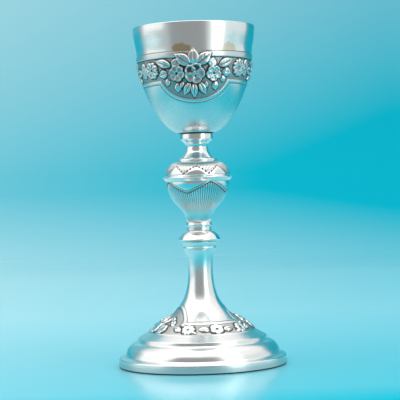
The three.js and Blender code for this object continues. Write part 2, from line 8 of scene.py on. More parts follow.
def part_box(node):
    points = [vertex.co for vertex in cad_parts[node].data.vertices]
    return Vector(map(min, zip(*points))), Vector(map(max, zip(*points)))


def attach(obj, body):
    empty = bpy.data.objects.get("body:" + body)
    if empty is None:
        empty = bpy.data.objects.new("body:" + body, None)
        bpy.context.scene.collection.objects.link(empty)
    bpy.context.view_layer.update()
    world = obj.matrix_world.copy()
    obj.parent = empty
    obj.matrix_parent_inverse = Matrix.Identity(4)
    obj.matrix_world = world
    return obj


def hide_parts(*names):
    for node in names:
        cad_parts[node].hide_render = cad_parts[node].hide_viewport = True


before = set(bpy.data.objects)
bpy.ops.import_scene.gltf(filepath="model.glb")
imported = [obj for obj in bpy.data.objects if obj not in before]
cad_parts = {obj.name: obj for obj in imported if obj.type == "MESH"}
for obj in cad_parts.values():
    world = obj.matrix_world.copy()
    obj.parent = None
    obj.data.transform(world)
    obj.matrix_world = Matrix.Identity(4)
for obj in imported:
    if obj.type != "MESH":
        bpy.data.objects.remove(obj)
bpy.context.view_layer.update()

# The silver chalice in fine mesh: each turned piece is an outline swept round the axis, with its chased
# and embossed work as heights over that surface. Sizes are in millimetres unless a name says otherwise,
# angles in degrees to the right from the front (-Y). Every piece stands where its solid stands.

mm = 0.001


def baseOf(node):
    # height of a solid's lower end over the ground, in millimetres
    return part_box(node)[0].z / mm


# Outlines

def bezier(a, b, c, d, steps=60):
    # cubic curve from a to d steered by b and c: the four Bernstein weights of an even parameter
    t = np.linspace(0, 1, steps + 1)[:, None]
    a, b, c, d = (np.array(p, float) for p in (a, b, c, d))
    return (1 - t) ** 3 * a + 3 * (1 - t) ** 2 * t * b + 3 * (1 - t) * t ** 2 * c + t ** 3 * d


def conic(a, b, c, steps=40):
    # quadratic curve from a to c steered by b
    t = np.linspace(0, 1, steps + 1)[:, None]
    a, b, c = (np.array(p, float) for p in (a, b, c))
    return (1 - t) ** 2 * a + 2 * (1 - t) * t * b + t ** 2 * c


def runs(points):
    # distance along a polyline at each of its points
    return np.concatenate([[0], np.cumsum(np.hypot(*np.diff(points, axis=0).T))])


def evenly(points, step):
    # the polyline through points about one step apart, its ends kept
    points = np.array(points, float)
    s = runs(points)
    count = max(int(round(s[-1] / step)), 1)
    at = np.linspace(0, s[-1], count + 1)
    return np.column_stack([np.interp(at, s, points[:, 0]), np.interp(at, s, points[:, 1])])


def join(*stretches):
    # the stretches end to end, without points that repeat the one before
    points = np.vstack([np.array(s, float).reshape(-1, 2) for s in stretches])
    keep = np.concatenate([[True], np.hypot(*np.diff(points, axis=0).T) > 1e-4])
    return points[keep]


def below(points, z):
    # the part of a rising curve under a height, ended on it
    points = np.array(points)
    r = np.interp(z, points[:, 1], points[:, 0])
    return np.vstack([points[points[:, 1] < z - 1e-6], [r, z]])


def above(points, z):
    # the part of a rising curve over a height, started on it
    points = np.array(points)
    r = np.interp(z, points[:, 1], points[:, 0])
    return np.vstack([[r, z], points[points[:, 1] > z + 1e-6]])


def soften(points, size, sharp=22):
    # each corner sharper than an angle becomes a small quadratic curve, cut back by size on both sides
    out = [points[0]]
    for before, corner, after in zip(points[:-2], points[1:-1], points[2:]):
        into, away = corner - before, after - corner
        li, la = np.hypot(*into), np.hypot(*away)
        turn = math.degrees(math.acos(np.clip(np.dot(into, away) / (li * la), -1, 1)))
        if turn < sharp:
            out.append(corner)
            continue
        back = min(size, li * 0.45, la * 0.45)
        out.extend(conic(corner - into / li * back, corner, corner + away / la * back, 4))
    out.append(points[-1])
    return np.array(out)


def inset(points, distance):
    # the polyline moved to its left by a distance, along the mean normal of its two sides
    d = np.gradient(np.array(points, float), axis=0)
    d /= np.hypot(d[:, 0], d[:, 1])[:, None]
    return np.array(points) + np.column_stack([-d[:, 1], d[:, 0]]) * distance


# Meshes

def meshFrom(name, points, quads, triangles, layers):
    # a smooth-shaded mesh from whole arrays: metres, corner numbers, and one number per vertex for each layer
    mesh = bpy.data.meshes.new(name)
    mesh.vertices.add(len(points))
    mesh.vertices.foreach_set("co", np.ascontiguousarray(points, np.float32).ravel())
    corners = np.concatenate([quads.ravel(), triangles.ravel()]).astype(np.int32)
    sizes = np.concatenate([np.full(len(quads), 4), np.full(len(triangles), 3)])
    mesh.loops.add(len(corners))
    mesh.loops.foreach_set("vertex_index", corners)
    mesh.polygons.add(len(sizes))
    mesh.polygons.foreach_set("loop_start", np.concatenate([[0], np.cumsum(sizes)[:-1]]).astype(np.int32))
    mesh.update(calc_edges=True)
    mesh.validate()
    mesh.shade_smooth()
    for layer, values in layers.items():
        mesh.attributes.new(layer, "FLOAT", "POINT").data.foreach_set("value", values.astype(np.float32))
    piece = bpy.data.objects.new(name, mesh)
    bpy.context.scene.collection.objects.link(piece)
    return piece


def revolve(outline, columns, heights=None):
    # points (r sin a, -r cos a, z) of an outline swept round the axis, moved along its normal by heights.
    # The outline's first and last points may lie on the axis, where they close in one vertex each.
    startPole, endPole = outline[0, 0] < 1e-6, outline[-1, 0] < 1e-6
    between = slice(int(startPole), len(outline) - int(endPole))
    rings = outline[between]
    a = np.arange(columns) * 2 * np.pi / columns
    d = np.gradient(outline, axis=0)[between]
    d /= np.hypot(d[:, 0], d[:, 1])[:, None]
    h = np.zeros((len(rings), columns)) if heights is None else heights[between]
    r = rings[:, :1] + d[:, 1:] * h
    z = rings[:, 1:] - d[:, :1] * h
    points = np.stack([r * np.sin(a), -r * np.cos(a), z], -1).reshape(-1, 3)
    i, j = np.meshgrid(np.arange(len(rings) - 1), np.arange(columns), indexing="ij")
    k = (j + 1) % columns
    quads = np.stack([i * columns + j, i * columns + k, (i + 1) * columns + k, (i + 1) * columns + j], -1)
    triangles = []
    j = np.arange(columns)
    k = (j + 1) % columns
    if startPole:
        points = np.vstack([points, [0, 0, outline[0, 1]]])
        triangles.append(np.stack([np.full(columns, len(points) - 1), k, j], -1))
    if endPole:
        last = (len(rings) - 1) * columns
        points = np.vstack([points, [0, 0, outline[-1, 1]]])
        triangles.append(np.stack([last + j, last + k, np.full(columns, len(points) - 1)], -1))
    triangles = np.vstack(triangles) if triangles else np.zeros((0, 3), int)
    return points, quads.reshape(-1, 4), triangles


def turnedPiece(name, node, outline, columns, heights=None, extras=(), dark=None):
    # one finished piece: the turned surface, the hollows of its relief, and any darkened lines and painted
    # shade, as a layer, and the small blades that stand on it
    points, quads, triangles = revolve(outline, columns, heights)
    hollow = np.zeros(len(points))
    if heights is not None:
        start = int(outline[0, 0] < 1e-6)
        rings = heights[start:start + (len(points) - start) // columns]
        flat = hollowOf(rings)
        if dark is not None:
            flat = np.maximum(flat, dark[start:start + len(rings)])
        flat = flat.ravel()
        hollow[:len(flat)] = flat
    for blade, bladeQuads in extras:
        quads = np.vstack([quads, bladeQuads + len(points)])
        points = np.vstack([points, blade])
        hollow = np.concatenate([hollow, np.zeros(len(blade))])
    piece = meshFrom(name, points * mm, quads, triangles, {"hollow": hollow})
    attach(piece, "root")
    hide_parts(node)
    print(name, "has", len(quads) * 2 + len(triangles), "triangles")
    return piece


# Relief

def blur(field, times=1):
    # mean of each height with its four neighbours, wrapped round the axis
    for _ in range(times):
        side = np.roll(field, 1, 1) + np.roll(field, -1, 1)
        padded = np.pad(field, ((1, 1), (0, 0)), mode="edge")
        field = field * 0.4 + (side + padded[:-2] + padded[2:]) * 0.15
    return field


def hollowOf(heights):
    # how far each point lies under the mean height around it, from 0 to 1
    wide = np.clip((blur(heights, 24) - heights) / 0.5, 0, 1)
    near = np.clip((blur(heights, 5) - heights) / 0.16, 0, 1)
    return wide * 0.6 + near * 0.5


def rowOf(outline, point):
    # the row of an outline that lies nearest to a point
    return int(np.argmin(np.hypot(*(outline - point).T)))


def cut(x, width):
    # the profile of a cut line: a bell, 1 at its middle and 0.37 at a width from it
    return np.exp(-(x / width) ** 2)


def ease(x, low, high):
    # smooth step from 0 at low to 1 at high
    t = np.clip((x - low) / (high - low), 0, 1)
    return t * t * (3 - 2 * t)


class Field:
    # heights over one stretch of a turned surface, addressed by degrees round the axis and millimetres along
    def __init__(self, outline, columns):
        self.outline = outline
        self.s = runs(outline)[:, None]
        self.r = np.maximum(outline[:, :1], 0.1)
        self.angle = (np.arange(columns) * 360 / columns)[None, :]
        self.height = np.zeros((len(outline), columns))
        self.shade = np.zeros((len(outline), columns))

    def along(self, z):
        # distance along the stretch at a height
        return np.interp(z, self.outline[:, 1], self.s[:, 0])

    def local(self, angle, s, turn=0):
        # millimetres across and along from a place, turned to the right from straight up
        off = (self.angle - angle + 180) % 360 - 180
        u = np.radians(off) * self.r
        v = self.s - s
        c, w = math.cos(math.radians(turn)), math.sin(math.radians(turn))
        return u * c - v * w, u * w + v * c

    def zigzag(self, count, start):
        # from 0 in the middle of each of count even sectors, the first at start, to 1 at its edges
        half = 180 / count
        return np.abs((self.angle - start + half) % (2 * half) - half) / half

    def raiseTo(self, h):
        # the higher of h and what is there, so that motifs lap over each other
        self.height = np.maximum(self.height, h)


def petal(u, v, length, width, rise, dish=0.0, rib=0.0, full=0.62, base=0.0, pointed=1.0, arched=0.0):
    # height of one petal or leaf from its root at v = 0 to its tip: the half width swells to its widest at
    # full and closes with the power pointed, the face is a low crown (arched lengthwise by a share) or, with
    # dish, a shallow bowl with a raised edge, and rib cuts a groove down the middle
    t = v / length
    inside = (t > 0) & (t < 1)
    tc = np.clip(t, 1e-4, 1 - 1e-4)
    swell = np.where(tc < full, np.sin(tc / full * np.pi / 2) ** 0.75,
                     np.clip(np.cos((tc - full) / (1 - full) * np.pi / 2), 0, 1) ** pointed)
    half = width / 2 * swell + 1e-3
    q = np.abs(u) / half
    edge = np.minimum((1 - q) * half, (1 - tc) * length * 0.9)
    wall = ease(edge, -0.05, 0.55)
    lengthwise = (1 - arched) * ease(t, -0.1, 0.45) + arched * (0.25 + 0.75 * np.sin(np.pi * tc ** 0.8))
    crown = rise * (1 - 0.35 * q ** 2) * lengthwise
    bowl = dish * (ease(q, 0.25, 0.9) + ease(tc, 0.6, 0.95) * 0.8) - dish * 0.5
    groove = rib * cut(u, 0.42) * ease(1 - tc, 0.05, 0.3)
    h = base + (crown + bowl - groove) * wall
    return np.where(inside & (q < 1), h, -9)


def leafInto(field, angle, s, length, width, turn, rise=1.15, veins=4):
    # a pointed leaf with a middle rib, slanting veins and one edge curled up
    u, v = field.local(angle, s, turn)
    h = petal(u, v, length, width, rise, dish=0.2, rib=0.6, full=0.45, pointed=1.1, arched=0.85)
    slant = np.sin((v - np.abs(u) * 0.8) / length * veins * 2 * np.pi)
    h = h + np.where(h > -1, 0.09 * slant * ease(np.abs(u), 0.3, 1.0) + 0.35 * np.clip(u / width, 0, 0.5), 0)
    field.raiseTo(h)


def budInto(field, angle, s, length, width, turn, rise=1.2, grooves=3):
    # a closed bud: a smooth pod with grooves along it
    u, v = field.local(angle, s, turn)
    h = petal(u, v, length, width, rise, full=0.5, pointed=0.8)
    lines = np.cos(u / width * 2 * np.pi * grooves / 2) ** 8
    field.raiseTo(h - np.where(h > -1, 0.28 * lines * ease(v / length, 0.1, 0.5), 0))


def flowerInto(field, angle, s, radius, petals, turn=0, width=None, rise=0.95, dish=0.3, rib=0.0, base=0.0,
               heart=0.28, heartRise=0.9, pit=0.0, spread=360, shaded=0.0):
    # an open flower: petals at even angles round a heart, which is a boss, or a pit with a raised lip. The
    # cups of its upper petals are darkened with painted shade, by the share shaded.
    width = width or 2 * radius * math.tan(math.pi / max(petals, 5)) * 1.12
    for k in range(petals):
        way = turn + (k - (petals - 1) / 2) * spread / petals
        u, v = field.local(angle, s, way)
        h = petal(u, v, radius, width, rise, dish, rib, full=0.66, base=base + 0.16 * (k % 2), pointed=0.55)
        # painted shade: the cup of each petal that points up is darkened through field.shade, by the share
        # shaded
        cup = 1 - (u / (width * 0.38)) ** 2 - ((v - radius * 0.56) / (radius * 0.32)) ** 2
        share = shaded * ease(math.cos(math.radians(way)), -0.4, 0.6)
        field.shade = np.where(h > field.height, ease(cup, 0, 0.6) * share, field.shade)
        field.raiseTo(h)
    u, v = field.local(angle, s)
    out = np.hypot(u, v)
    inner = radius * heart
    boss = base + heartRise * np.sqrt(np.clip(1 - (out / inner) ** 2, 0, 1)) + rise * 0.55
    field.raiseTo(np.where(out < inner, boss, -9))
    if pit:
        field.height -= pit * (1 - ease(out, inner * 0.35, inner * 0.95))


# Silver colours and finishes

silver = {
    "bright": (0.88, 0.875, 0.86, 1),
    "satin": (0.71, 0.715, 0.705, 1),
    "warm": (0.80, 0.775, 0.735, 1),
    # the tarnish colour also paints shade: the upper petals' cups and the contact shadows at lower edges
    "tarnishAndShade": (0.10, 0.095, 0.085, 1),
    "gilt": (0.64, 0.50, 0.30, 1),
    "giltInside": (0.80, 0.69, 0.50, 1),
}


def addNode(tree, kind, values=None, **settings):
    # a node with its settings and the values of its unlinked sockets
    node = tree.nodes.new(kind)
    for key, value in settings.items():
        setattr(node, key, value)
    for key, value in (values or {}).items():
        node.inputs[key].default_value = value
    return node


def wire(tree, source, out, target, into):
    # a link from an output of one node to an input of another
    tree.links.new(source.outputs[out], target.inputs[into])


def newGroup(name, inputs, outputs):
    # an empty node group with named sockets: (name, kind, default)
    group = bpy.data.node_groups.new(name, "ShaderNodeTree")
    for label, kind, default in inputs:
        socket = group.interface.new_socket(label, in_out="INPUT", socket_type=kind)
        if default is not None:
            socket.default_value = default
    for label, kind in outputs:
        group.interface.new_socket(label, in_out="OUTPUT", socket_type=kind)
    return group, group.nodes.new("NodeGroupInput"), group.nodes.new("NodeGroupOutput")


def maths(tree, operation, a, b=None, clamp=False):
    # a Math node fed by numbers or by (node, output) pairs
    node = addNode(tree, "ShaderNodeMath", operation=operation, use_clamp=clamp)
    for index, value in enumerate((a, b)):
        if value is None:
            continue
        if isinstance(value, tuple):
            wire(tree, value[0], value[1], node, index)
        else:
            node.inputs[index].default_value = value
    return (node, 0)


def ranged(tree, source, fromMin, fromMax, toMin=0.0, toMax=1.0, **settings):
    # a (node, output) pair mapped from one range to another and held inside it
    node = addNode(tree, "ShaderNodeMapRange", {"From Min": fromMin, "From Max": fromMax,
                                                "To Min": toMin, "To Max": toMax}, **settings)
    wire(tree, *source, node, "Value")
    return (node, 0)


def mixed(tree, share, a, b):
    # the colour a share of the way from a to b, each of them a colour or a (node, output) pair
    node = addNode(tree, "ShaderNodeMix", data_type="RGBA")
    wire(tree, *share, node, "Factor")
    for socket, value in ((6, a), (7, b)):
        if isinstance(value[0], bpy.types.Node):
            wire(tree, *value, node, socket)
        else:
            node.inputs[socket].default_value = value
    return (node, 2)


def axes(tree, source):
    # X, Y and Z of a (node, output) pair
    parts = addNode(tree, "ShaderNodeSeparateXYZ")
    wire(tree, *source, parts, 0)
    return [(parts, axis) for axis in "XYZ"]


def makeTurnedMarks():
    # fine lines left by turning and polishing: noise stretched round the axis, so it changes with height
    group, start, end = newGroup("turnedMarks", [
        ("Coordinates", "NodeSocketVector", None), ("Lines", "NodeSocketFloat", 700.0),
        ("Wander", "NodeSocketFloat", 6.0)], [("Marks", "NodeSocketFloat"), ("Broad", "NodeSocketFloat")])
    x, y, z = axes(group, (start, "Coordinates"))
    slow = [maths(group, "MULTIPLY", axis, (start, "Wander")) for axis in (x, y)]
    fast = maths(group, "MULTIPLY", z, (start, "Lines"))
    for out, along in (("Marks", fast), ("Broad", maths(group, "MULTIPLY", fast, 0.16))):
        stretched = addNode(group, "ShaderNodeCombineXYZ")
        for axis, value in enumerate([*slow, along]):
            wire(group, *value, stretched, axis)
        noise = addNode(group, "ShaderNodeTexNoise", {"Scale": 1.0, "Detail": 4.0, "Roughness": 0.6})
        wire(group, stretched, 0, noise, "Vector")
        wire(group, noise, 0, end, out)
    return group


def makeHandling():
    # marks of handling: soft smears, small spots, and hairline scratches that run every way
    group, start, end = newGroup("handling", [
        ("Coordinates", "NodeSocketVector", None), ("Smear Scale", "NodeSocketFloat", 45.0),
        ("Spot Scale", "NodeSocketFloat", 420.0)],
        [("Smears", "NodeSocketFloat"), ("Spots", "NodeSocketFloat"), ("Scratches", "NodeSocketFloat")])
    for label, low, high, texture in (
            ("Smear", 0.42, 0.72, {"Detail": 5.0, "Roughness": 0.6, "Distortion": 0.4}),
            ("Spot", 0.66, 0.74, {"Detail": 2.0, "Roughness": 0.5})):
        noise = addNode(group, "ShaderNodeTexNoise", texture)
        wire(group, start, "Coordinates", noise, "Vector")
        wire(group, start, label + " Scale", noise, "Scale")
        wire(group, *ranged(group, (noise, 0), low, high), end, label + "s")
    bend = addNode(group, "ShaderNodeTexNoise", {"Scale": 30.0, "Detail": 1.0})
    wire(group, start, "Coordinates", bend, "Vector")
    shift = addNode(group, "ShaderNodeVectorMath", {1: (0.02, 0.02, 0.02)}, operation="MULTIPLY_ADD")
    wire(group, bend, "Color", shift, 0)
    wire(group, start, "Coordinates", shift, 2)
    lines = addNode(group, "ShaderNodeTexVoronoi", {"Scale": 170.0}, feature="DISTANCE_TO_EDGE")
    wire(group, shift, 0, lines, "Vector")
    wire(group, *ranged(group, (lines, 0), 0.0, 0.03, 1.0, 0.0), end, "Scratches")
    return group


def makeOldSilver():
    # colour of old silver: bright metal, warmer in smears, dark with tarnish in the hollows of the relief and
    # in spots, and dark with painted shade where the hollow layer carries it
    group, start, end = newGroup("oldSilver", [
        ("Bright", "NodeSocketColor", silver["bright"]), ("Warm", "NodeSocketColor", silver["warm"]),
        ("Tarnish And Shade", "NodeSocketColor", silver["tarnishAndShade"]), ("Hollow", "NodeSocketFloat", 0.0),
        ("Smears", "NodeSocketFloat", 0.0), ("Spots", "NodeSocketFloat", 0.0),
        ("Depth", "NodeSocketFloat", 1.0)],
        [("Color", "NodeSocketColor"), ("Dull", "NodeSocketFloat")])
    warm = mixed(group, (start, "Smears"), (start, "Bright"), (start, "Warm"))
    deep = maths(group, "MULTIPLY", (start, "Hollow"), (start, "Depth"), clamp=True)
    tarnishAndShadeShare = maths(group, "MAXIMUM", deep, maths(group, "MULTIPLY", (start, "Spots"), 0.35))
    wire(group, *mixed(group, tarnishAndShadeShare, warm, (start, "Tarnish And Shade")), end, "Color")
    wire(group, *tarnishAndShadeShare, end, "Dull")
    return group


turnedMarks, handling, oldSilver = makeTurnedMarks(), makeHandling(), makeOldSilver()


def silverMaterial(name, look):
    # Principled metal; the groups give its colour, the change of its roughness and its fine surface
    material = bpy.data.materials.new(name)
    material.use_nodes = True
    tree = material.node_tree
    shader = tree.nodes["Principled BSDF"]
    shader.inputs["Metallic"].default_value = 1.0
    place = addNode(tree, "ShaderNodeTexCoord")
    marks, wear, colour = [addNode(tree, "ShaderNodeGroup", node_tree=group)
                           for group in (turnedMarks, handling, oldSilver)]
    wire(tree, place, "Object", marks, "Coordinates")
    wire(tree, place, "Object", wear, "Coordinates")
    marks.inputs["Lines"].default_value = look["lines"]
    wear.inputs["Smear Scale"].default_value = look["smearScale"]
    layer = addNode(tree, "ShaderNodeAttribute", attribute_name="hollow")
    wire(tree, layer, "Fac", colour, "Hollow")
    for label in ("Smears", "Spots"):
        wire(tree, *maths(tree, "MULTIPLY", (wear, label), look[label.lower()]), colour, label)
    colour.inputs["Depth"].default_value = look["hollows"]
    colour.inputs["Bright"].default_value = silver[look.get("metal", "bright")]
    wire(tree, colour, "Color", shader, "Base Color")

    rough = maths(tree, "MULTIPLY_ADD", (marks, "Broad"), look["roughChange"])
    rough[0].inputs[2].default_value = look["rough"] - look["roughChange"] * 0.5
    rough = maths(tree, "ADD", rough, maths(tree, "MULTIPLY", (wear, "Smears"), look["smearRough"]))
    rough = maths(tree, "ADD", rough, maths(tree, "MULTIPLY", (colour, "Dull"), 0.3), clamp=True)
    wire(tree, *rough, shader, "Roughness")

    fine = maths(tree, "MULTIPLY", (marks, "Marks"), look["lineDepth"])
    fine = maths(tree, "SUBTRACT", fine, maths(tree, "MULTIPLY", (wear, "Scratches"), look["scratchDepth"]))
    if look.get("matted"):
        # punched ground: close round dents, only where the relief is hollow
        dents = addNode(tree, "ShaderNodeTexVoronoi", {"Scale": look["mattedScale"]}, feature="SMOOTH_F1")
        wire(tree, place, "Object", dents, "Vector")
        ground = maths(tree, "MULTIPLY", (dents, "Distance"), (layer, "Fac"))
        fine = maths(tree, "ADD", fine, maths(tree, "MULTIPLY", ground, look["matted"]))
    bump = addNode(tree, "ShaderNodeBump", {"Strength": 1.0, "Distance": 0.0001})
    wire(tree, *fine, bump, "Height")
    wire(tree, bump, 0, shader, "Normal")
    return material, tree, shader, colour, place


def ringDistance(tree, place):
    # degrees round the axis from the front, and height, of the point being shaded
    x, y, z = axes(tree, (place, "Object"))
    angle = maths(tree, "ARCTAN2", x, maths(tree, "MULTIPLY", y, -1.0))
    return maths(tree, "MULTIPLY", angle, 180 / math.pi), z


def patch(tree, angle, z, uneven, middle, half, top, fall, strength):
    # mask of a stain that stands on the seam: top is its height over the ground, and it falls by
    # fall millimetres for each degree to the side. uneven shifts its edges.
    off = maths(tree, "ABSOLUTE", maths(tree, "SUBTRACT", angle, middle))
    spread = maths(tree, "ADD", off, maths(tree, "MULTIPLY", uneven, half * 0.5))
    side = ranged(tree, spread, half * 1.12, half)
    drop = maths(tree, "MULTIPLY", off, fall * mm)
    level = maths(tree, "ADD", maths(tree, "ADD", z, drop), maths(tree, "MULTIPLY", uneven, 8 * mm))
    under = ranged(tree, level, (top + 0.8) * mm, (top - 0.8) * mm)
    return maths(tree, "MULTIPLY", maths(tree, "MULTIPLY", side, under), strength)


# Bowl: the cup and its lip

bowlShape = {
    "floorRadius": 13.2, "sleeveRadius": 44.6, "sleeveHeight": 59.1,
    "floorReach": 13.8, "floorLift": 1.7, "sideReach": 23.8, "sideLean": 0.8,
    "sleeveWall": 0.8, "clearance": 0.3, "cupWall": 1.0, "seam": 0.25,
    "lipFlare": 2.5, "lipTuck": 0.1, "lipHeight": 21.95, "rimRound": 0.7, "columns": 288,
    "gildedUnder": 258.5, "fullUnder": 244.0, "gilding": 0.75,
    # degrees to its middle, half its width in degrees, height of its top, fall and strength of each
    "stains": [(-12.2, 8.4, 244.4, 0.3, 1.0), (35.5, 9.0, 245.4, 0.62, 0.6)],
}


def bowlCurve():
    # the bowl's outer face: one cubic curve from the flat floor to the sleeve's edge
    b = bowlShape
    return bezier(
        (b["floorRadius"], 0), (b["floorRadius"] + b["floorReach"], b["floorLift"]),
        (b["sleeveRadius"] - b["sideLean"], b["sleeveHeight"] - b["sideReach"]),
        (b["sleeveRadius"], b["sleeveHeight"]), 240)


def insideCurve(distance):
    # the bowl's curve at a distance inside the sleeve's outer face, ended level with the sleeve's edge
    line = inset(bowlCurve(), distance)
    line[-1, 1] = bowlShape["sleeveHeight"]
    return line[line[:, 1] <= bowlShape["sleeveHeight"] + 1e-6]


def lipLine():
    # the lip's outer face: a cubic curve over the seam that spreads by the flare
    b = bowlShape
    start, low = b["sleeveRadius"] - b["lipTuck"], b["sleeveHeight"] + b["seam"]
    return bezier(
        (start, low), (start + b["lipFlare"] * 0.15, low + b["lipHeight"] * 0.36),
        (start + b["lipFlare"], low + b["lipHeight"] * 0.55),
        (start + b["lipFlare"] + b["lipTuck"], low + b["lipHeight"]), 60)


def makeBowl():
    # a thin wall inside the sleeve, a lip that stands out over it and thins upwards, and a rounded rim
    b = bowlShape
    rebate = b["sleeveWall"] + b["clearance"]
    outer = insideCurve(rebate)
    lip = lipLine()
    top = lip[-1, 1]
    share = (top - lip[:, 1:]) / b["lipHeight"]
    lipInside = lip - np.hstack([b["cupWall"] + rebate * share, np.zeros_like(share)])
    innerLow = above(insideCurve(rebate + b["cupWall"]), outer[0, 1] + b["cupWall"] + 1.6)
    floor = innerLow[0]
    low = outer[0, 1] + b["cupWall"]
    bottom = bezier((0, low), (floor[0] * 0.4, low), (floor[0] * 0.8, floor[1] - 0.8), floor)
    inside = evenly(join(bottom, innerLow[:-6], lipInside[6:]), 1.3)
    rimRadius, rimRound = lip[-1, 0], b["rimRound"]
    rim = join(conic((rimRadius, top - rimRound), (rimRadius, top), (rimRadius - b["cupWall"] * 0.5, top), 6),
               conic((rimRadius - b["cupWall"] * 0.5, top), (rimRadius - b["cupWall"], top),
                     (rimRadius - b["cupWall"], top - rimRound * 0.6), 4))
    outline = join(
        evenly([[0, outer[0, 1]], outer[0]], 3), evenly(outer[:-1], 2),
        [[b["sleeveRadius"] - rebate, b["sleeveHeight"] + b["seam"]]],
        evenly(below(lip, top - rimRound), 0.9), rim, inside[inside[:, 1] < top - rimRound][::-1])
    outline = soften(outline, 0.3)
    outline[:, 1] += baseOf("bowl_sleeve")
    piece = turnedPiece("cup", "bowl", outline, b["columns"])

    look = {"lines": 1100.0, "smearScale": 38.0, "smears": 0.35, "spots": 0.25, "hollows": 0.0, "rough": 0.19,
            "roughChange": 0.1, "smearRough": 0.02, "lineDepth": 0.3, "scratchDepth": 0.02}
    material, tree, shader, colour, place = silverMaterial("cup_silver", look)
    angle, z = ringDistance(tree, place)
    edges = addNode(tree, "ShaderNodeTexNoise", {"Scale": 160.0, "Detail": 4.0, "Roughness": 0.6})
    wire(tree, place, "Object", edges, "Vector")
    uneven = maths(tree, "SUBTRACT", (edges, 0), 0.5)
    stained = maths(tree, "MAXIMUM", *[patch(tree, angle, z, uneven, *stain) for stain in b["stains"]])
    # gilding that is left inside the cup, where the surface faces the axis or up, worn off towards the rim
    flat = addNode(tree, "ShaderNodeVectorMath", {1: (1, 1, 0)}, operation="MULTIPLY")
    wire(tree, place, "Object", flat, 0)
    outward = addNode(tree, "ShaderNodeVectorMath", operation="NORMALIZE")
    wire(tree, flat, 0, outward, 0)
    normal = addNode(tree, "ShaderNodeNewGeometry")
    facing = addNode(tree, "ShaderNodeVectorMath", operation="DOT_PRODUCT")
    wire(tree, normal, "True Normal", facing, 0)
    wire(tree, outward, 0, facing, 1)
    upward = axes(tree, (normal, "True Normal"))[2]
    turned = maths(tree, "SUBTRACT", (facing, "Value"), maths(tree, "MAXIMUM", upward, 0.0))
    fade = ranged(tree, z, b["gildedUnder"] * mm, b["fullUnder"] * mm, 0.0, b["gilding"])
    within = maths(tree, "MULTIPLY", ranged(tree, turned, 0.15, -0.15), fade)
    gilded = mixed(tree, within, (colour, "Color"), silver["giltInside"])
    wire(tree, *mixed(tree, stained, gilded, silver["gilt"]), shader, "Base Color")
    piece.data.materials.append(material)


# Sleeve: the embossed shell round the cup

sleeveShape = {
    "columns": 720, "bandHeight": 4.5, "bandProud": 0.3, "step": 0.42, "groundDepth": 0.35,
    "arcRadius": 31.0, "stripWidth": 3.1, "stripProud": 0.18, "incised": 0.34, "groundTarnish": 0.4,
    "stripZ": 217.2, "dipZ": 203.0, "reliefFrom": 197.5,
}
sleeveBase = baseOf("bowl_sleeve")


def spray(field, middle):
    # one spray of the bowl's garland and its two arms: (degrees, height over ground, sizes)
    def at(angle, z):
        return middle + angle, field.along(z - sleeveBase)

    # the lowest layer: leaves and buds that come out from under the flowers
    for angle, z, turn, length in ((-3.0, 227.6, -55, 15.4), (2.0, 227.8, 52, 15.4)):
        leafInto(field, *at(angle, z), length, 8.6, turn, rise=2.1)
    for angle, z, turn, length in ((-24, 227.4, -71, 14.2), (24.6, 226.8, 66, 14.2)):
        leafInto(field, *at(angle, z), length, 6.6, turn, rise=1.9)
    for angle, z, turn, length in ((-5.2, 215.0, 206, 11.2), (-0.6, 214.6, 180, 12.0),
                                   (5.0, 215.0, 152, 11.0)):
        leafInto(field, *at(angle, z), length, 5.6, turn, rise=1.6, veins=3)
    for angle, z, turn, length, width in ((-18.6, 214.9, 186, 7.4, 5.4), (22.8, 216.0, 178, 7.4, 5.4),
                                          (-29.5, 218.4, 190, 5.8, 4.4), (30.5, 220.0, 170, 5.4, 4.8),
                                          (11.5, 215.6, 160, 5.2, 3.4), (-12.5, 215.8, 200, 5.2, 3.4)):
        budInto(field, *at(angle, z), length, width, turn)
    leafInto(field, *at(-28.6, 222.6), 8.2, 6.4, -104, rise=1.25, veins=3)
    budInto(field, *at(28.9, 222.6), 8.0, 7.2, 92, rise=1.4, grooves=2)
    for angle, z in ((-18.6, 229.2), (18.0, 229.2)):
        flowerInto(field, *at(angle, z), 3.3, 4, turn=20, rise=0.9, dish=0.25, heart=0.3, pit=0.5)

    # the arms: a daisy, petals fanned out behind it and a trailing leaf
    flowerInto(field, *at(-57.4, 225.6), 7.0, 3, turn=-90, spread=150, width=4.6, rise=0.95, rib=0.3)
    flowerInto(field, *at(59.4, 226.4), 6.8, 4, turn=90, spread=170, width=4.0, rise=0.95, rib=0.3)
    flowerInto(field, *at(-47.8, 225.2), 6.5, 8, width=4.6, rise=1.3, dish=0.35, rib=0.5, heart=0.26, pit=1.5)
    flowerInto(field, *at(50.6, 226.0), 6.7, 11, width=3.6, rise=1.25, dish=0.2, rib=0.4, heart=0.4,
               heartRise=0.7, pit=0.9)

    # the flowers of the spray, the middle one on top
    flowerInto(field, *at(-18.4, 221.8), 6.4, 6, turn=15, width=5.4, rise=1.3, dish=0.85, heart=0.3, pit=1.5,
               shaded=0.45)
    flowerInto(field, *at(19.9, 221.4), 6.1, 5, turn=36, width=5.9, rise=1.3, dish=0.8, heart=0.26, pit=1.3)
    flowerInto(field, *at(0, 221.6), 7.9, 5, turn=18, width=8.0, rise=1.4, dish=1.05, rib=0.2, heart=0.2,
               pit=0.6, shaded=0.75)
    flowerInto(field, *at(0, 222.4), 3.4, 3, turn=-20, width=3.2, rise=0.9, dish=0.5, base=0.5, heart=0.24,
               pit=0.6, shaded=0.6)


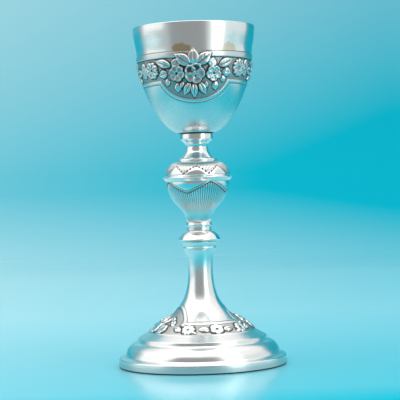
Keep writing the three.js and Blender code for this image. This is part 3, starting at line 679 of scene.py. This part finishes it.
def trail(field, middle):
    # what joins two sprays round the side: a middle flower with leaves that reach to the arms
    def at(angle, z):
        return middle + angle, field.along(z - sleeveBase)

    for side in (-1, 1):
        leafInto(field, *at(side * 6.5, 224.6), 13.0, 6.0, side * 88, rise=1.2)
        leafInto(field, *at(side * 3.0, 227.6), 8.6, 4.6, side * 62, rise=1.1, veins=3)
        budInto(field, *at(side * 8.5, 220.6), 6.6, 4.2, side * 112)
    flowerInto(field, *at(0, 224.4), 6.3, 6, turn=30, width=5.2, rise=1.1, dish=0.4, heart=0.3, pit=0.8)


def leafTip(middle, outline, fromZ, toZ, width, proud, thick):
    # the tip of the top leaf, which laps over the sleeve's edge: a pointed blade on a grid of across and
    # along, bowed with the lip, closed by a second face set a thickness in
    n = 15
    t = np.linspace(0, 1, n)[:, None]
    q = np.linspace(-1, 1, n)[None, :]
    z = fromZ + (toZ - fromZ) * t
    swell = np.where(t < 0.42, np.sin(t / 0.42 * np.pi / 2) * 0.6 + 0.4,
                     np.clip(np.cos((t - 0.42) / 0.58 * np.pi / 2), 0, 1) ** 1.2)
    half = width / 2 * swell + 0.05
    r = np.interp(z, outline[:, 1], outline[:, 0])
    arch = np.sin(np.pi * np.clip(t, 0, 1) ** 0.8)
    crown = proud + 1.1 * arch * (1 - 0.6 * q ** 2) - 0.6 * cut(q, 0.16) * (1 - t * 0.6)
    faces = []
    for depth in (crown, crown - thick):
        a = math.radians(middle) + q * half / r
        out = r + depth * np.ones_like(q)
        faces.append(np.stack([out * np.sin(a), -out * np.cos(a), z + 0 * q], -1).reshape(-1, 3))
    i, j = np.meshgrid(np.arange(n - 1), np.arange(n - 1), indexing="ij")
    front = np.stack([i * n + j, i * n + j + 1, (i + 1) * n + j + 1, (i + 1) * n + j], -1).reshape(-1, 4)
    back = front[:, ::-1] + n * n
    rim = np.concatenate([np.arange(n), np.arange(1, n) * n + n - 1, n * n - 2 - np.arange(n - 1),
                          (n - 2 - np.arange(n - 2)) * n])
    rimNext = np.roll(rim, -1)
    sides = np.stack([rimNext, rim, rim + n * n, rimNext + n * n], -1)
    return np.vstack(faces), np.vstack([front, back, sides])


def makeSleeve():
    # the bowl's curve as a shell; away is how far a point lies outside the garland's field
    b, w = bowlShape, sleeveShape
    curve = bowlCurve()
    bandZ = b["sleeveHeight"] - w["bandHeight"]
    reliefZ = w["reliefFrom"] - sleeveBase
    relief = evenly(below(above(curve, reliefZ), b["sleeveHeight"] - 0.25), w["step"])
    edge = [[b["sleeveRadius"] + w["bandProud"] * 0.5, b["sleeveHeight"]],
            [b["sleeveRadius"] - 0.4, b["sleeveHeight"]]]
    inner = insideCurve(b["sleeveWall"])
    outline = join(
        evenly([[0, 0], [b["floorRadius"], 0]], 3), evenly(below(curve, reliefZ), 2), relief, edge,
        evenly(inner[::-1], 6), [[0, inner[0, 1]]])
    start = rowOf(outline, relief[0])
    stop = start + len(relief)
    field = Field(relief, w["columns"])

    # the garland's field: over a level line, and inside a round arc that dips under each spray
    level = field.along(w["stripZ"] - sleeveBase)
    arcMiddle = field.along(w["dipZ"] - sleeveBase) + w["arcRadius"]
    away = level - field.s + 0 * field.angle
    for middle in (0, 180):
        u, v = field.local(middle, arcMiddle)
        away = np.minimum(away, np.where(v < 0, np.hypot(u, v) - w["arcRadius"], away))
    ground = -w["groundDepth"] * ease(-away, 0.0, 0.3)
    strip = w["stripProud"] * ease(away, 0.1, 0.6) * ease(w["stripWidth"] - away, 0.1, 0.6)
    cuts = w["incised"] * (cut(away, 0.3) + cut(away - w["stripWidth"], 0.3))
    field.height = ground
    for middle in (0, 180):
        spray(field, middle)
        trail(field, middle + 90)
    # the plain band over it, with a groove under the band; what laps over the band stands on it
    bandS = field.along(bandZ)
    band = w["bandProud"] * ease(field.s, bandS + 0.1, bandS + 0.5)
    motifs = np.where(field.height > 0.2, field.height + band, band + np.where(band > 0, 0, field.height))
    motifs = motifs - w["incised"] * cut(field.s - bandS, 0.3) * (field.height < 0.2)
    field.height = np.where(away > 0, strip, motifs) - cuts
    grain = np.random.default_rng(4).normal(0, 0.05, field.height.shape)
    field.height = blur(field.height + grain * (field.height < -0.1), 1)

    heights = np.zeros((len(outline), w["columns"]))
    fadeEnds = ease(np.arange(len(relief)), 0, 3)[:, None]
    heights[start:stop] = field.height * fadeEnds

    outline[:, 1] += sleeveBase
    lipFace = lipLine()
    lipFace[:, 1] += sleeveBase
    wall = np.vstack([relief + [0.3, sleeveBase], lipFace])
    tips = [leafTip(middle, wall, fromZ=228.2, toZ=240.3, width=8.0, proud=0.6, thick=0.45)
            for middle in (-0.6, 179.4)]
    # tarnish lies on the garland's ground and in every cut line; the cups of the upper petals get painted
    # shade, and a painted contact shadow darkens the underside at the shell's lower edge
    dark = np.zeros_like(heights)
    deep = ease(field.height, 0.25, -0.05) * ease(-away, 0.0, 0.6) * ease(bandS - field.s, -0.2, 0.4)
    deep = np.maximum(deep * w["groundTarnish"], cuts / w["incised"] * 0.5)
    dark[start:stop] = np.maximum(deep, field.shade)
    # painted contact shadow on the underside at the shell's lower edge, over the collar
    dark += ((outline[:, 0] > 11) & (outline[:, 1] < sleeveBase + 0.3))[:, None]
    piece = turnedPiece("sleeve", "bowl_sleeve", outline, w["columns"], heights,
                        tips, dark)
    look = {"lines": 500.0, "smearScale": 60.0, "smears": 0.5, "spots": 0.1, "hollows": 1.35, "rough": 0.26,
            "metal": "satin", "roughChange": 0.03, "smearRough": 0.03, "lineDepth": 0.012,
            "scratchDepth": 0.004, "matted": 2.2, "mattedScale": 1500.0}
    piece.data.materials.append(silverMaterial("embossed_silver", look)[0])


# Collar

collarShape = {
    "coveRadius": 8.5, "coveTop": 12.2, "coveHeight": 4.8,
    "discRadius": 12.75, "discHeight": 5.1, "round": 0.5,
}


def makeCollar():
    # a cove that widens upwards and a disc with rounded edges on it
    c = collarShape
    top = c["coveHeight"] + c["discHeight"]
    outline = join(
        evenly([[0, 0], [c["coveRadius"], 0]], 2),
        evenly(bezier((c["coveRadius"], 0), (c["coveRadius"] + 0.4, c["coveHeight"] * 0.55),
                      (c["coveTop"] - 1, c["coveHeight"] * 0.8), (c["coveTop"], c["coveHeight"])), 0.4),
        evenly([[c["discRadius"], c["coveHeight"] + c["round"]], [c["discRadius"], top - c["round"]]], 0.9),
        evenly([[c["discRadius"] - c["round"], top], [0, top]], 2))
    outline = soften(outline, 0.3)
    outline[:, 1] += baseOf("collar")
    return turnedPiece("collar_disc", "collar", outline, 192)


# Knop

knopShape = {
    "neckRadius": 9.45, "neckHeight": 5.8, "rollProud": 0.6, "rollHeight": 2.2, "vaseHeight": 31.7,
    "vaseRadius": 24.5, "flangeRadius": 27.1, "flangeHeight": 5.2, "flangeEdge": 0.9, "domeRadius": 25.2,
    "domeHeight": 10.5, "filletRadius": 15.1, "filletHeight": 2.0, "skirtHeight": 9.4, "skirtFoot": 13.4,
    "skirtTop": 8.5, "flutes": 80, "fluteDepth": 0.5, "fluteEnd": 6.0, "panels": 4, "panelDrop": 8.6,
    "panelAngle": -21.0, "panelProud": 0.25, "panelGroove": 1.5, "edgeShare": 0.53,
    # the dome's zigzag, in millimetres up its slope, and the hatching over it
    "points": 8, "pointAngle": -2.0, "zigzagFrom": 0.5, "zigzagTo": 7.8, "meanRadius": 23.5, "dotPitch": 2.9,
    "strokes": 120, "columns": 560,
}


def makeKnop():
    # from below: neck, roll, vase, flange, dome, fillet and skirt, each a curve between two heights
    k = knopShape
    vase, flange = k["neckHeight"], k["neckHeight"] + k["vaseHeight"]
    dome = flange + k["flangeHeight"]
    fillet = dome + k["domeHeight"]
    skirt = fillet + k["filletHeight"]
    top = skirt + k["skirtHeight"]
    waist = (k["neckRadius"] + 8, vase + k["vaseHeight"] * 0.46)
    lowVase = bezier((k["neckRadius"] + 0.3, vase), (k["neckRadius"] + 0.3, vase + 7.5),
                     (waist[0] - 4, waist[1] - 4.4), waist, 120)
    highVase = bezier(waist, (waist[0] + 4.4, waist[1] + 4.8), (k["vaseRadius"] - 0.6, flange - 5.2),
                      (k["vaseRadius"], flange), 120)
    vaseLine = evenly(join(lowVase, highVase), 0.54)
    roll = vase - k["rollHeight"]
    neck = soften(join(evenly([[0, 0], [k["neckRadius"], 0]], 2.2),
                       evenly([[k["neckRadius"], 0], [k["neckRadius"], roll - 0.6]], 0.4)), 0.15)
    rollOut = k["neckRadius"] + k["rollProud"] * 1.4
    rollLine = bezier((k["neckRadius"], roll - 0.6), (rollOut, roll - 0.3), (rollOut, roll + 1.3),
                      (k["neckRadius"] + 0.25, roll + 1.7), 8)
    edgeZ = flange + k["flangeHeight"] * k["edgeShare"]
    edgeR, edge, domeR, filletR = k["flangeRadius"], k["flangeEdge"], k["domeRadius"], k["filletRadius"]
    flangeLine = soften(np.array([
        [k["vaseRadius"], flange], [k["vaseRadius"] + 0.1, flange + 0.5], [edgeR - 0.5, edgeZ],
        [edgeR, edgeZ + edge * 0.3], [edgeR, edgeZ + edge * 0.7], [edgeR - 0.3, edgeZ + edge],
        [domeR, dome - 0.4], [domeR - 0.25, dome - 0.1]]), 0.25)
    domeLine = evenly(bezier((domeR - 0.2, dome), (domeR - 0.6, dome + k["domeHeight"] * 0.5),
                             (filletR + 5.6, fillet - 0.6), (filletR + 0.1, fillet)), 0.42)
    filletLine = bezier((filletR, fillet + 0.15), (filletR + 0.65, fillet + 0.2),
                        (filletR + 0.65, skirt - 0.2), (filletR - 0.3, skirt), 8)
    skirtLine = evenly(bezier((k["skirtFoot"], skirt + 0.2), (k["skirtFoot"] - 3, skirt + 3.4),
                              (k["skirtTop"], skirt + 5), (k["skirtTop"], top)), 0.8)
    outline = join(neck, rollLine, vaseLine, flangeLine, domeLine, filletLine, skirtLine,
                   evenly([[k["skirtTop"], top], [0, top]], 2.2))
    heights = np.zeros((len(outline), k["columns"]))

    # vase: flutes that close towards the neck, under four plain panels with a groove inside their edge
    start = rowOf(outline, vaseLine[0])
    field = Field(vaseLine, k["columns"])
    off = field.zigzag(k["panels"], k["panelAngle"])
    panelZ = flange - k["panelDrop"] * (1 - off ** 1.2)
    z = vaseLine[:, 1:]
    slope = k["panelDrop"] * 1.2 * off ** 0.2 / (math.pi / k["panels"] * field.r)
    over = (z - panelZ) / np.sqrt(1 + slope ** 2)
    deep = np.clip(field.r / 20, 0.4, 1) * ease(z, k["fluteEnd"], k["fluteEnd"] + 1.5)
    groove = np.abs(np.cos(np.radians(field.angle) * k["flutes"] / 2)) ** 1.5 * deep
    flutes = -k["fluteDepth"] * groove
    panel = k["panelProud"] * ease(over, 0.1, 0.6) - 0.3 * cut(over - k["panelGroove"], 0.32)
    field.height = np.where(over > 0, panel, flutes * ease(-over, 0.1, 0.5)) - 0.35 * cut(over, 0.3)
    ends = ease(np.arange(len(vaseLine))[::-1], 0, 2)[:, None]
    heights[start:start + len(vaseLine)] = field.height * ends
    lines = cut(over, 0.4) + 0.8 * cut(over - k["panelGroove"], 0.35)
    dark = np.zeros_like(heights)
    dark[start:start + len(vaseLine)] = np.where(over > 0, 0, groove ** 2 * 0.5) + lines * 0.75

    # dome: a dotted zigzag, plain points under it and upright hatching over it
    start = rowOf(outline, domeLine[0])
    field = Field(domeLine, k["columns"])
    off = field.zigzag(k["points"], k["pointAngle"])
    low, high = k["zigzagFrom"], k["zigzagTo"]
    lineS = high - (high - low) * off ** 1.12
    halfPoint = math.pi / k["points"] * k["meanRadius"]
    over = (field.s - lineS) / math.sqrt(1 + ((high - low) / halfPoint) ** 2)
    strokes = np.abs(np.cos(np.radians(field.angle) * k["strokes"] / 2)) ** 4
    hatch = -0.2 * strokes * ease(over, 0.6, 1.1) * ease(field.s, 12.8, 11.6)
    leg = math.hypot(halfPoint, high - low)
    dots = ease(np.cos(off * leg / k["dotPitch"] * np.pi) ** 2, 0.3, 0.7)
    chain = cut(over, 0.55)
    swell = 0.16 * ease(-over, 0.4, 2.6)
    ends = ease(np.arange(len(domeLine)), 0, 2)[:, None]
    heights[start:start + len(domeLine)] = (hatch - chain * (0.1 + 0.4 * dots) + swell) * ends
    dark[start:start + len(domeLine)] = (chain * (0.25 + 0.75 * dots) - hatch * 2.8) * ends

    outline[:, 1] += baseOf("knop")
    dark = np.clip(dark, 0, 1)
    piece = turnedPiece("knop_node", "knop", outline, k["columns"], heights, dark=dark)
    look = {"lines": 900.0, "smearScale": 80.0, "smears": 0.4, "spots": 0.25, "hollows": 1.5, "rough": 0.17,
            "roughChange": 0.08, "smearRough": 0.06, "lineDepth": 0.05, "scratchDepth": 0.02}
    piece.data.materials.append(silverMaterial("engraved_silver", look)[0])


# Stem ring

ringShape = {"radius": 16.2, "lip": 1.6, "height": 8.1, "topRadius": 10.0, "footRadius": 14.2}


def makeRing():
    # a low cone, a short lip, and a quadratic curve up to the flat top
    g = ringShape
    outline = join(
        evenly([[0, 0], [g["footRadius"], 0]], 2),
        evenly([[g["footRadius"], 0], [g["radius"] - 0.1, g["lip"] * 0.6]], 0.6),
        [[g["radius"], g["lip"] * 0.8], [g["radius"], g["lip"]]],
        evenly(conic((g["radius"] - 0.1, g["lip"] + 0.2), (g["radius"] - 2.0, g["height"] * 0.73),
                     (g["topRadius"], g["height"])), 0.45),
        evenly([[g["topRadius"], g["height"]], [0, g["height"]]], 2))
    outline = soften(outline, 0.25)
    outline[:, 1] += baseOf("stem_ring")
    return turnedPiece("ring_boss", "stem_ring", outline, 192)


# Foot

footShape = {
    "baseRadius": 64.6, "rimHeight": 6.2, "rimRound": 1.2, "edgeRound": 1.2, "baseRingWidth": 4.1,
    "ledgeWidth": 4.7, "ledgeRise": 1.4, "domeRun": 9.8, "domeRise": 10.4, "domeBulge": 3.2,
    "stepDraft": 0.5, "stepHeight": 2.7, "tierRun": 9.2, "tierRise": 4.9, "beadRadius": 0.55,
    "garlandRun": 9.4, "garlandRise": 7.8, "flareRise": 37.4, "waist": 9.6, "columnRise": 17.2,
    "columnTop": 12.1, "beadHeight": 2.0, "beadProud": 0.6, "cuffHeight": 3.9, "cuffRadius": 13.8,
    "wall": 1.3, "cap": 1.6, "columns": 424, "step": 0.46, "panelAngle": 17.5, "panelHalf": 46.5,
    "lineZ": 33.7, "stripWidth": 3.2, "archTop": 44.6, "archRadius": 25.0, "groundDepth": 0.35,
    "stripProud": 0.2, "incised": 0.3, "groundTarnish": 0.35, "rimTarnish": 0.2,
}


def footGarland(field, middleS, panel):
    # the band under one plain panel, and the spray that climbs the flare a quarter turn on
    def at(angle, up):
        return panel + angle, middleS + up

    for side in (-1, 1):
        leafInto(field, *at(side * 8.2, -0.4), 9.2, 5.0, side * 84, rise=1.15, veins=3)
        leafInto(field, *at(side * 26.5, 2.2), 6.6, 3.8, side * 100, rise=1.0, veins=3)
        leafInto(field, *at(side * 43.0, -1.6), 8.4, 5.0, side * 58, rise=1.1, veins=3)
        budInto(field, *at(side * 41.0, 3.6), 5.4, 3.4, side * 40)
        budInto(field, *at(side * 24.0, -3.2), 5.0, 3.0, side * 88)
        flowerInto(field, *at(side * 34.0, -0.2), 5.2, 9, width=3.3, rise=1.25, dish=0.2, rib=0.35, heart=0.3,
                   pit=1.1)
        leafInto(field, *at(side * 58.0, 3.2), 9.4, 4.6, side * 26, rise=1.2, veins=3)
        leafInto(field, *at(side * 64.0, 8.4), 8.6, 4.2, side * 38, rise=1.2, veins=3)
    flowerInto(field, *at(0, -0.2), 5.3, 6, turn=30, width=4.8, rise=1.25, dish=0.6, heart=0.3, pit=1.2)

    for angle, up, turn, length, width in (
            (0, 3.6, 0, 12.0, 5.4), (-4, 3.2, -42, 11.0, 5.0), (4, 3.2, 42, 11.0, 5.0),
            (-10, -3.6, -100, 7.0, 4.0), (10, -3.6, 100, 7.0, 4.0)):
        leafInto(field, *at(90 + angle, up), length, width, turn, rise=1.2, veins=3)
    for side in (-1, 1):
        flowerInto(field, *at(90 + side * 17.5, -0.2), 4.9, 5, turn=36, width=4.6, rise=1.1, dish=0.35,
                   heart=0.32, pit=0.8)
        budInto(field, *at(90 + side * 13, 6.8), 6.0, 3.6, side * 20)
    flowerInto(field, *at(90, 0.6), 6.2, 6, turn=30, width=5.4, rise=1.2, dish=0.4, heart=0.3, pit=0.6)


def makeFoot():
    # from the ground up: rim, ledge, dome, step, tier, garland, flare, column, bead and cuff, each placed by
    # its run and rise from the one before, with a lining a wall's thickness inside them
    f = footShape
    baseR = f["baseRadius"]
    ledge = (baseR - f["rimRound"], f["rimHeight"] + f["rimRound"])
    dome = (baseR - f["ledgeWidth"], ledge[1] + f["ledgeRise"])
    step = (dome[0] - f["domeRun"], dome[1] + f["domeRise"])
    tier = (step[0] - f["stepDraft"], step[1] + f["stepHeight"])
    garland = (tier[0] - f["tierRun"], tier[1] + f["tierRise"])
    flare = (garland[0] - f["garlandRun"], garland[1] + f["garlandRise"])
    waistZ = flare[1] + f["flareRise"]
    topZ = waistZ + f["columnRise"]
    beadZ = topZ + f["beadHeight"]
    cuffZ = beadZ + f["cuffHeight"]
    bulge = ((dome[0] + step[0]) / 2 + f["domeBulge"],
             (dome[1] + step[1]) / 2 + f["domeBulge"] * f["domeRun"] / f["domeRise"])
    domeLine = conic(dome, bulge, step)
    flareLine = bezier(flare, (flare[0] - f["garlandRun"] * 1.3, flare[1] + f["garlandRise"] * 0.82),
                       (f["waist"], waistZ - f["flareRise"] * 0.59), (f["waist"], waistZ), 240)
    column = bezier((f["waist"], waistZ), (f["waist"], waistZ + f["columnRise"] * 0.46),
                    ((f["waist"] + f["columnTop"]) / 2 - 0.25, topZ - f["columnRise"] * 0.2),
                    (f["columnTop"], topZ))
    reliefTop = f["archTop"] + 3.5
    # the garland's slope runs into the flare without a crease
    slopeLine = bezier(garland, (garland[0] - 3.4, garland[1] + 3.2), (flare[0] + 3.2, flare[1] - 2.2),
                       flare, 60)
    relief = evenly(below(join(slopeLine, flareLine), reliefTop), f["step"])
    upper = evenly(above(flareLine, reliefTop), 1.9)
    bead = bezier((f["columnTop"] + 0.1, topZ + 0.1), (f["columnTop"] + f["beadProud"] * 1.4, topZ + 0.2),
                  (f["columnTop"] + f["beadProud"] * 1.4, beadZ - 0.3), (f["columnTop"] + 0.3, beadZ), 8)
    beading = bezier((garland[0] + f["beadRadius"] * 1.5, garland[1] - f["beadRadius"] * 0.6),
                     (garland[0] + f["beadRadius"] * 1.6, garland[1] + f["beadRadius"] * 0.5),
                     (garland[0] + f["beadRadius"] * 0.8, garland[1] + f["beadRadius"] * 0.9), garland, 6)
    lower = join(
        conic((baseR - f["edgeRound"], 0), (baseR, 0), (baseR, f["edgeRound"]), 5),
        evenly([[baseR, f["edgeRound"]], [baseR, f["rimHeight"]]], 2.2),
        evenly(conic((baseR, f["rimHeight"]), (baseR, ledge[1] - 0.1), ledge), 0.4),
        evenly([ledge, dome], 1.5), evenly(domeLine, 1.1), evenly([step, tier], 0.9),
        evenly([tier, beading[0]], 2.0))
    outer = join(lower, beading, relief, upper, evenly(column, 2.0), bead,
                 evenly(bezier((f["columnTop"] + 0.5, beadZ + 0.2), (f["columnTop"] + 0.6, beadZ + 1.6),
                               (f["cuffRadius"] - 0.6, cuffZ - 1.4), (f["cuffRadius"], cuffZ - 0.3)), 0.6),
                 [[f["cuffRadius"] - 0.2, cuffZ], [f["cuffRadius"] - 3, cuffZ], [0, cuffZ]])
    lining = inset(evenly(join(domeLine[::8], [[(step[0] + tier[0]) / 2, (step[1] + tier[1]) / 2]], [garland],
                               flareLine[::24], column[::30]), 4.0), f["wall"])
    innerR, capZ = baseR - f["baseRingWidth"], cuffZ - f["cap"]
    inner = join([[innerR, 0], [innerR, f["rimHeight"]]], lining[1:-3], [[lining[-4, 0], capZ], [0, capZ]])
    outline = soften(join(inner[::-1], outer), 0.3, 30)
    heights = np.zeros((len(outline), f["columns"]))
    start = rowOf(outline, relief[0])
    stop = start + len(relief)
    field = Field(outline[start:stop], f["columns"])

    # the border: level under a plain panel, and an arch like half an ellipse over each spray
    lineS, archS = field.along(f["lineZ"]), field.along(f["archTop"])
    middleS = lineS * 0.48
    halfArch = np.radians(90 - f["panelHalf"]) * f["archRadius"]
    away = field.s - lineS + 0 * field.angle
    for middle in (f["panelAngle"] + 90, f["panelAngle"] - 90):
        off = np.radians((field.angle - middle + 180) % 360 - 180) * f["archRadius"]
        x, y = off / halfArch, (field.s - lineS) / (archS - lineS)
        reach = np.hypot(x, y)
        steep = np.hypot(x / halfArch, y / (archS - lineS)) / np.maximum(reach, 1e-3)
        away = np.where(y > 0, np.minimum(away, (reach - 1) / steep), away)
    ground = -f["groundDepth"] * ease(-away, 0, 0.3)
    strip = f["stripProud"] * ease(away, 0.1, 0.6) * ease(f["stripWidth"] - away, 0.1, 0.6)
    cuts = f["incised"] * (cut(away, 0.3) + cut(away - f["stripWidth"], 0.3))
    field.height = ground
    for panel in (f["panelAngle"], f["panelAngle"] + 180):
        footGarland(field, middleS, panel)
    field.height = blur(np.where(away > 0, strip, field.height) - cuts, 1)
    rows = np.arange(len(relief))
    heights[start:stop] = field.height * (ease(rows, 0, 2) * ease(rows[::-1], 0, 3))[:, None]
    dark = np.zeros_like(heights)
    deep = ease(field.height, 0.25, -0.05) * ease(-away, 0.0, 0.6)
    dark[start:stop] = np.maximum(deep * f["groundTarnish"], cuts / f["incised"] * 0.6)
    # the upright rim is duller; along its lower edge a painted contact shadow darkens it most
    upright = (outline[:, 0] > baseR - 0.05) & (outline[:, 1] < f["rimHeight"])
    dark += (upright * f["rimTarnish"])[:, None]
    # painted contact shadow on the rounded lower edge and the underside next to it
    dark += ((outline[:, 0] > baseR - 2) & (outline[:, 1] < f["edgeRound"] * 0.8))[:, None] * 0.8
    piece = turnedPiece("foot_shell", "foot", outline, f["columns"], heights, dark=dark)
    look = {"lines": 700.0, "smearScale": 40.0, "smears": 0.4, "spots": 0.25, "hollows": 1.4, "rough": 0.22,
            "roughChange": 0.1, "smearRough": 0.04, "lineDepth": 0.07, "scratchDepth": 0.02,
            "matted": 2.0, "mattedScale": 1500.0}
    piece.data.materials.append(silverMaterial("foot_silver", look)[0])


print("building the cup")
makeBowl()
print("embossing the sleeve")
makeSleeve()
print("turning the stem")
turnedLook = {"lines": 900.0, "smearScale": 90.0, "smears": 0.35, "spots": 0.2, "hollows": 0.0, "rough": 0.15,
              "roughChange": 0.08, "smearRough": 0.05, "lineDepth": 0.05, "scratchDepth": 0.02}
turnedSilver = silverMaterial("turned_silver", turnedLook)[0]
makeCollar().data.materials.append(turnedSilver)
makeKnop()
makeRing().data.materials.append(turnedSilver)
print("raising the foot")
makeFoot()


# Floor, light and camera

studio = {
    "floorNear": -0.46, "floorFar": 1.25, "cove": 0.6, "wallTop": 1.9, "half": 3.4,
    "paleAqua": (0.55, 0.83, 0.88, 1), "deepAqua": (0.0, 0.50, 0.64, 1),
    # the room's colours, the share of X and Y that points to its grey side, and where that ends
    "front": (0.32, 0.335, 0.345, 1), "left": (0.50, 0.56, 0.57, 1), "right": (0.78, 0.87, 0.89, 1),
    "over": (1.02, 1.02, 1.02, 1), "greyX": 0.17, "greyY": 0.985, "greyTo": (-0.86, -0.74),
    "overFrom": (0.6, 0.78), "overLater": 0.2,
    # where the aqua gets deeper: from and to in metres, and the depth at both; nearEdge is painted shade at
    # the front of the floor, and lamps paints light on the floor beside the lamps
    "across": (-0.4, 0.4, 0.0, 0.46), "back": (0.65, 1.63), "backPower": 3.5, "backDepth": 0.7,
    "upWall": (0.17, 0.56, 0.0, 0.56), "nearer": (0.44, -0.18, 0.0, 0.52),
    "nearEdge": (-0.14, -0.32, 0.0, 0.5), "aside": (0.21, 0.4, 0.0, 0.5), "asidePerDepth": 0.15,
    "lamps": (0.5, 0.75, 0.0, 1.4), "lampsBefore": (0.55, 0.25),
    "gloss": (0.0, 0.08, 0.17, 0.7), "specular": 0.07,
}


def makeSweep():
    # a studio sweep: the floor, a quarter circle and the wall behind, aqua and paler to the left and low down
    s = studio
    a = np.radians(np.linspace(0, 90, 25))
    run = np.vstack([[[s["floorNear"], 0], [0, 0]],
                     np.column_stack([s["floorFar"] + s["cove"] * np.sin(a), s["cove"] * (1 - np.cos(a))]),
                     [[s["floorFar"] + s["cove"], s["wallTop"]]]])
    left = np.column_stack([np.full(len(run), -s["half"]), run])
    right = np.column_stack([np.full(len(run), s["half"]), run])
    i = np.arange(len(run) - 1)
    faces = np.column_stack([i, i + len(run), i + len(run) + 1, i + 1])
    sweep = meshFrom("sweep", np.vstack([left, right]), faces, np.zeros((0, 3), int), {})
    material = bpy.data.materials.new("aqua_sweep")
    material.use_nodes = True
    tree = material.node_tree
    shader = tree.nodes["Principled BSDF"]
    x, y, z = axes(tree, (addNode(tree, "ShaderNodeTexCoord"), "Object"))
    # deepest a little way up the curve at the back, paler again higher up
    back = maths(tree, "POWER", ranged(tree, y, *s["back"]), s["backPower"])
    depth = maths(tree, "ADD", ranged(tree, x, *s["across"]), maths(tree, "MULTIPLY", back, s["backDepth"]))
    depth = maths(tree, "SUBTRACT", depth, ranged(tree, z, *s["upWall"]))
    # and deeper outside the picture, which the silver's edges reflect, deeper on the floor towards the camera
    # and steeply so at its front edge as painted shade, but paler on the floor beside the lamps as painted
    # light
    offMiddle = maths(tree, "ABSOLUTE", x)
    beside = maths(tree, "SUBTRACT", offMiddle, maths(tree, "MULTIPLY", y, s["asidePerDepth"]))
    for source, stretch in ((beside, "aside"), (y, "nearEdge"), (y, "nearer")):
        depth = maths(tree, "ADD", depth, ranged(tree, source, *s[stretch]))
    # painted light: the floor is paler beside the lamps
    lamps = maths(tree, "MULTIPLY", ranged(tree, offMiddle, *s["lamps"]), ranged(tree, y, *s["lampsBefore"]))
    depth = maths(tree, "SUBTRACT", depth, lamps, clamp=True)
    wire(tree, *mixed(tree, depth, s["paleAqua"], s["deepAqua"]), shader, "Base Color")
    # the floor has a low gloss, the wall hardly any
    wire(tree, *ranged(tree, z, *s["gloss"]), shader, "Roughness")
    shader.inputs["Specular IOR Level"].default_value = s["specular"]
    sweep.data.materials.append(material)


def makeWorld():
    # the room round the sweep: grey on the camera's side and a little to its left, paler at the sides,
    # white overhead, which begins higher over the grey
    s = studio
    world = bpy.data.worlds.new("studio")
    bpy.context.scene.world = world
    world.use_nodes = True
    tree = world.node_tree
    x, y, z = axes(tree, (addNode(tree, "ShaderNodeTexCoord"), "Generated"))
    side = mixed(tree, ranged(tree, x, -0.3, 0.3), s["left"], s["right"])
    squares = [maths(tree, "MULTIPLY", axis, axis) for axis in (x, y)]
    around = maths(tree, "SQRT", maths(tree, "ADD", *squares))
    shares = [maths(tree, "MULTIPLY", axis, s[share]) for axis, share in ((x, "greyX"), (y, "greyY"))]
    toGrey = maths(tree, "DIVIDE", maths(tree, "ADD", *shares), around)
    turn = ranged(tree, toGrey, *s["greyTo"], interpolation_type="SMOOTHSTEP")
    level = mixed(tree, turn, s["front"], side)
    height = maths(tree, "ADD", z, maths(tree, "MULTIPLY", turn, s["overLater"]))
    up = ranged(tree, height, *s["overFrom"], interpolation_type="SMOOTHSTEP")
    wire(tree, *mixed(tree, up, level, s["over"]), tree.nodes["Background"], "Color")


def softbox(name, angle, distance, height, width, tall, power, aim=0.13):
    # an area light at degrees round from the front, facing the stem
    light = bpy.data.lights.new(name, "AREA")
    light.shape = "RECTANGLE"
    light.size, light.size_y = width, tall
    light.energy = power
    lamp = bpy.data.objects.new(name, light)
    bpy.context.scene.collection.objects.link(lamp)
    a = math.radians(angle)
    lamp.location = (distance * math.sin(a), -distance * math.cos(a), height)
    lamp.rotation_euler = (Vector((0, 0, aim)) - lamp.location).to_track_quat("-Z", "Y").to_euler()


def makeCamera():
    # focal length, distance and tilt as worked out from the ellipses of the rim and the foot
    view = {"distance": 1.061, "height": 0.1347, "sideAim": 0.0013, "downPixels": 10, "focalPixels": 1373,
            "rollDegrees": 1.7, "image": 400, "sensor": 36}
    camera = bpy.data.objects.new("camera", bpy.data.cameras.new("camera"))
    bpy.context.scene.collection.objects.link(camera)
    camera.data.sensor_width = view["sensor"]
    camera.data.lens = view["focalPixels"] / view["image"] * view["sensor"]
    start = Vector((0, -view["distance"], view["height"]))
    drop = view["distance"] * view["downPixels"] / view["focalPixels"]
    aim = Vector((view["sideAim"], 0, view["height"] - drop))
    turn = (aim - start).to_track_quat("-Z", "Y").to_matrix().to_4x4()
    roll = Matrix.Rotation(math.radians(-view["rollDegrees"]), 4, "Z")
    camera.matrix_world = Matrix.Translation(start) @ turn @ roll
    bpy.context.scene.camera = camera


makeSweep()
makeWorld()
softbox("left_softbox", angle=-82, distance=2.6, height=1.27, width=2.8, tall=2.5, power=13.5)
softbox("right_softbox", angle=47, distance=1.3, height=0.42, width=0.46, tall=1.6, power=3.6)
softbox("top_softbox", angle=0, distance=0.2, height=1.6, width=2.0, tall=1.75, power=12.5)
bpy.context.scene.view_settings.view_transform = "Standard"
makeCamera()

bpy.context.view_layer.update()
print("finished")
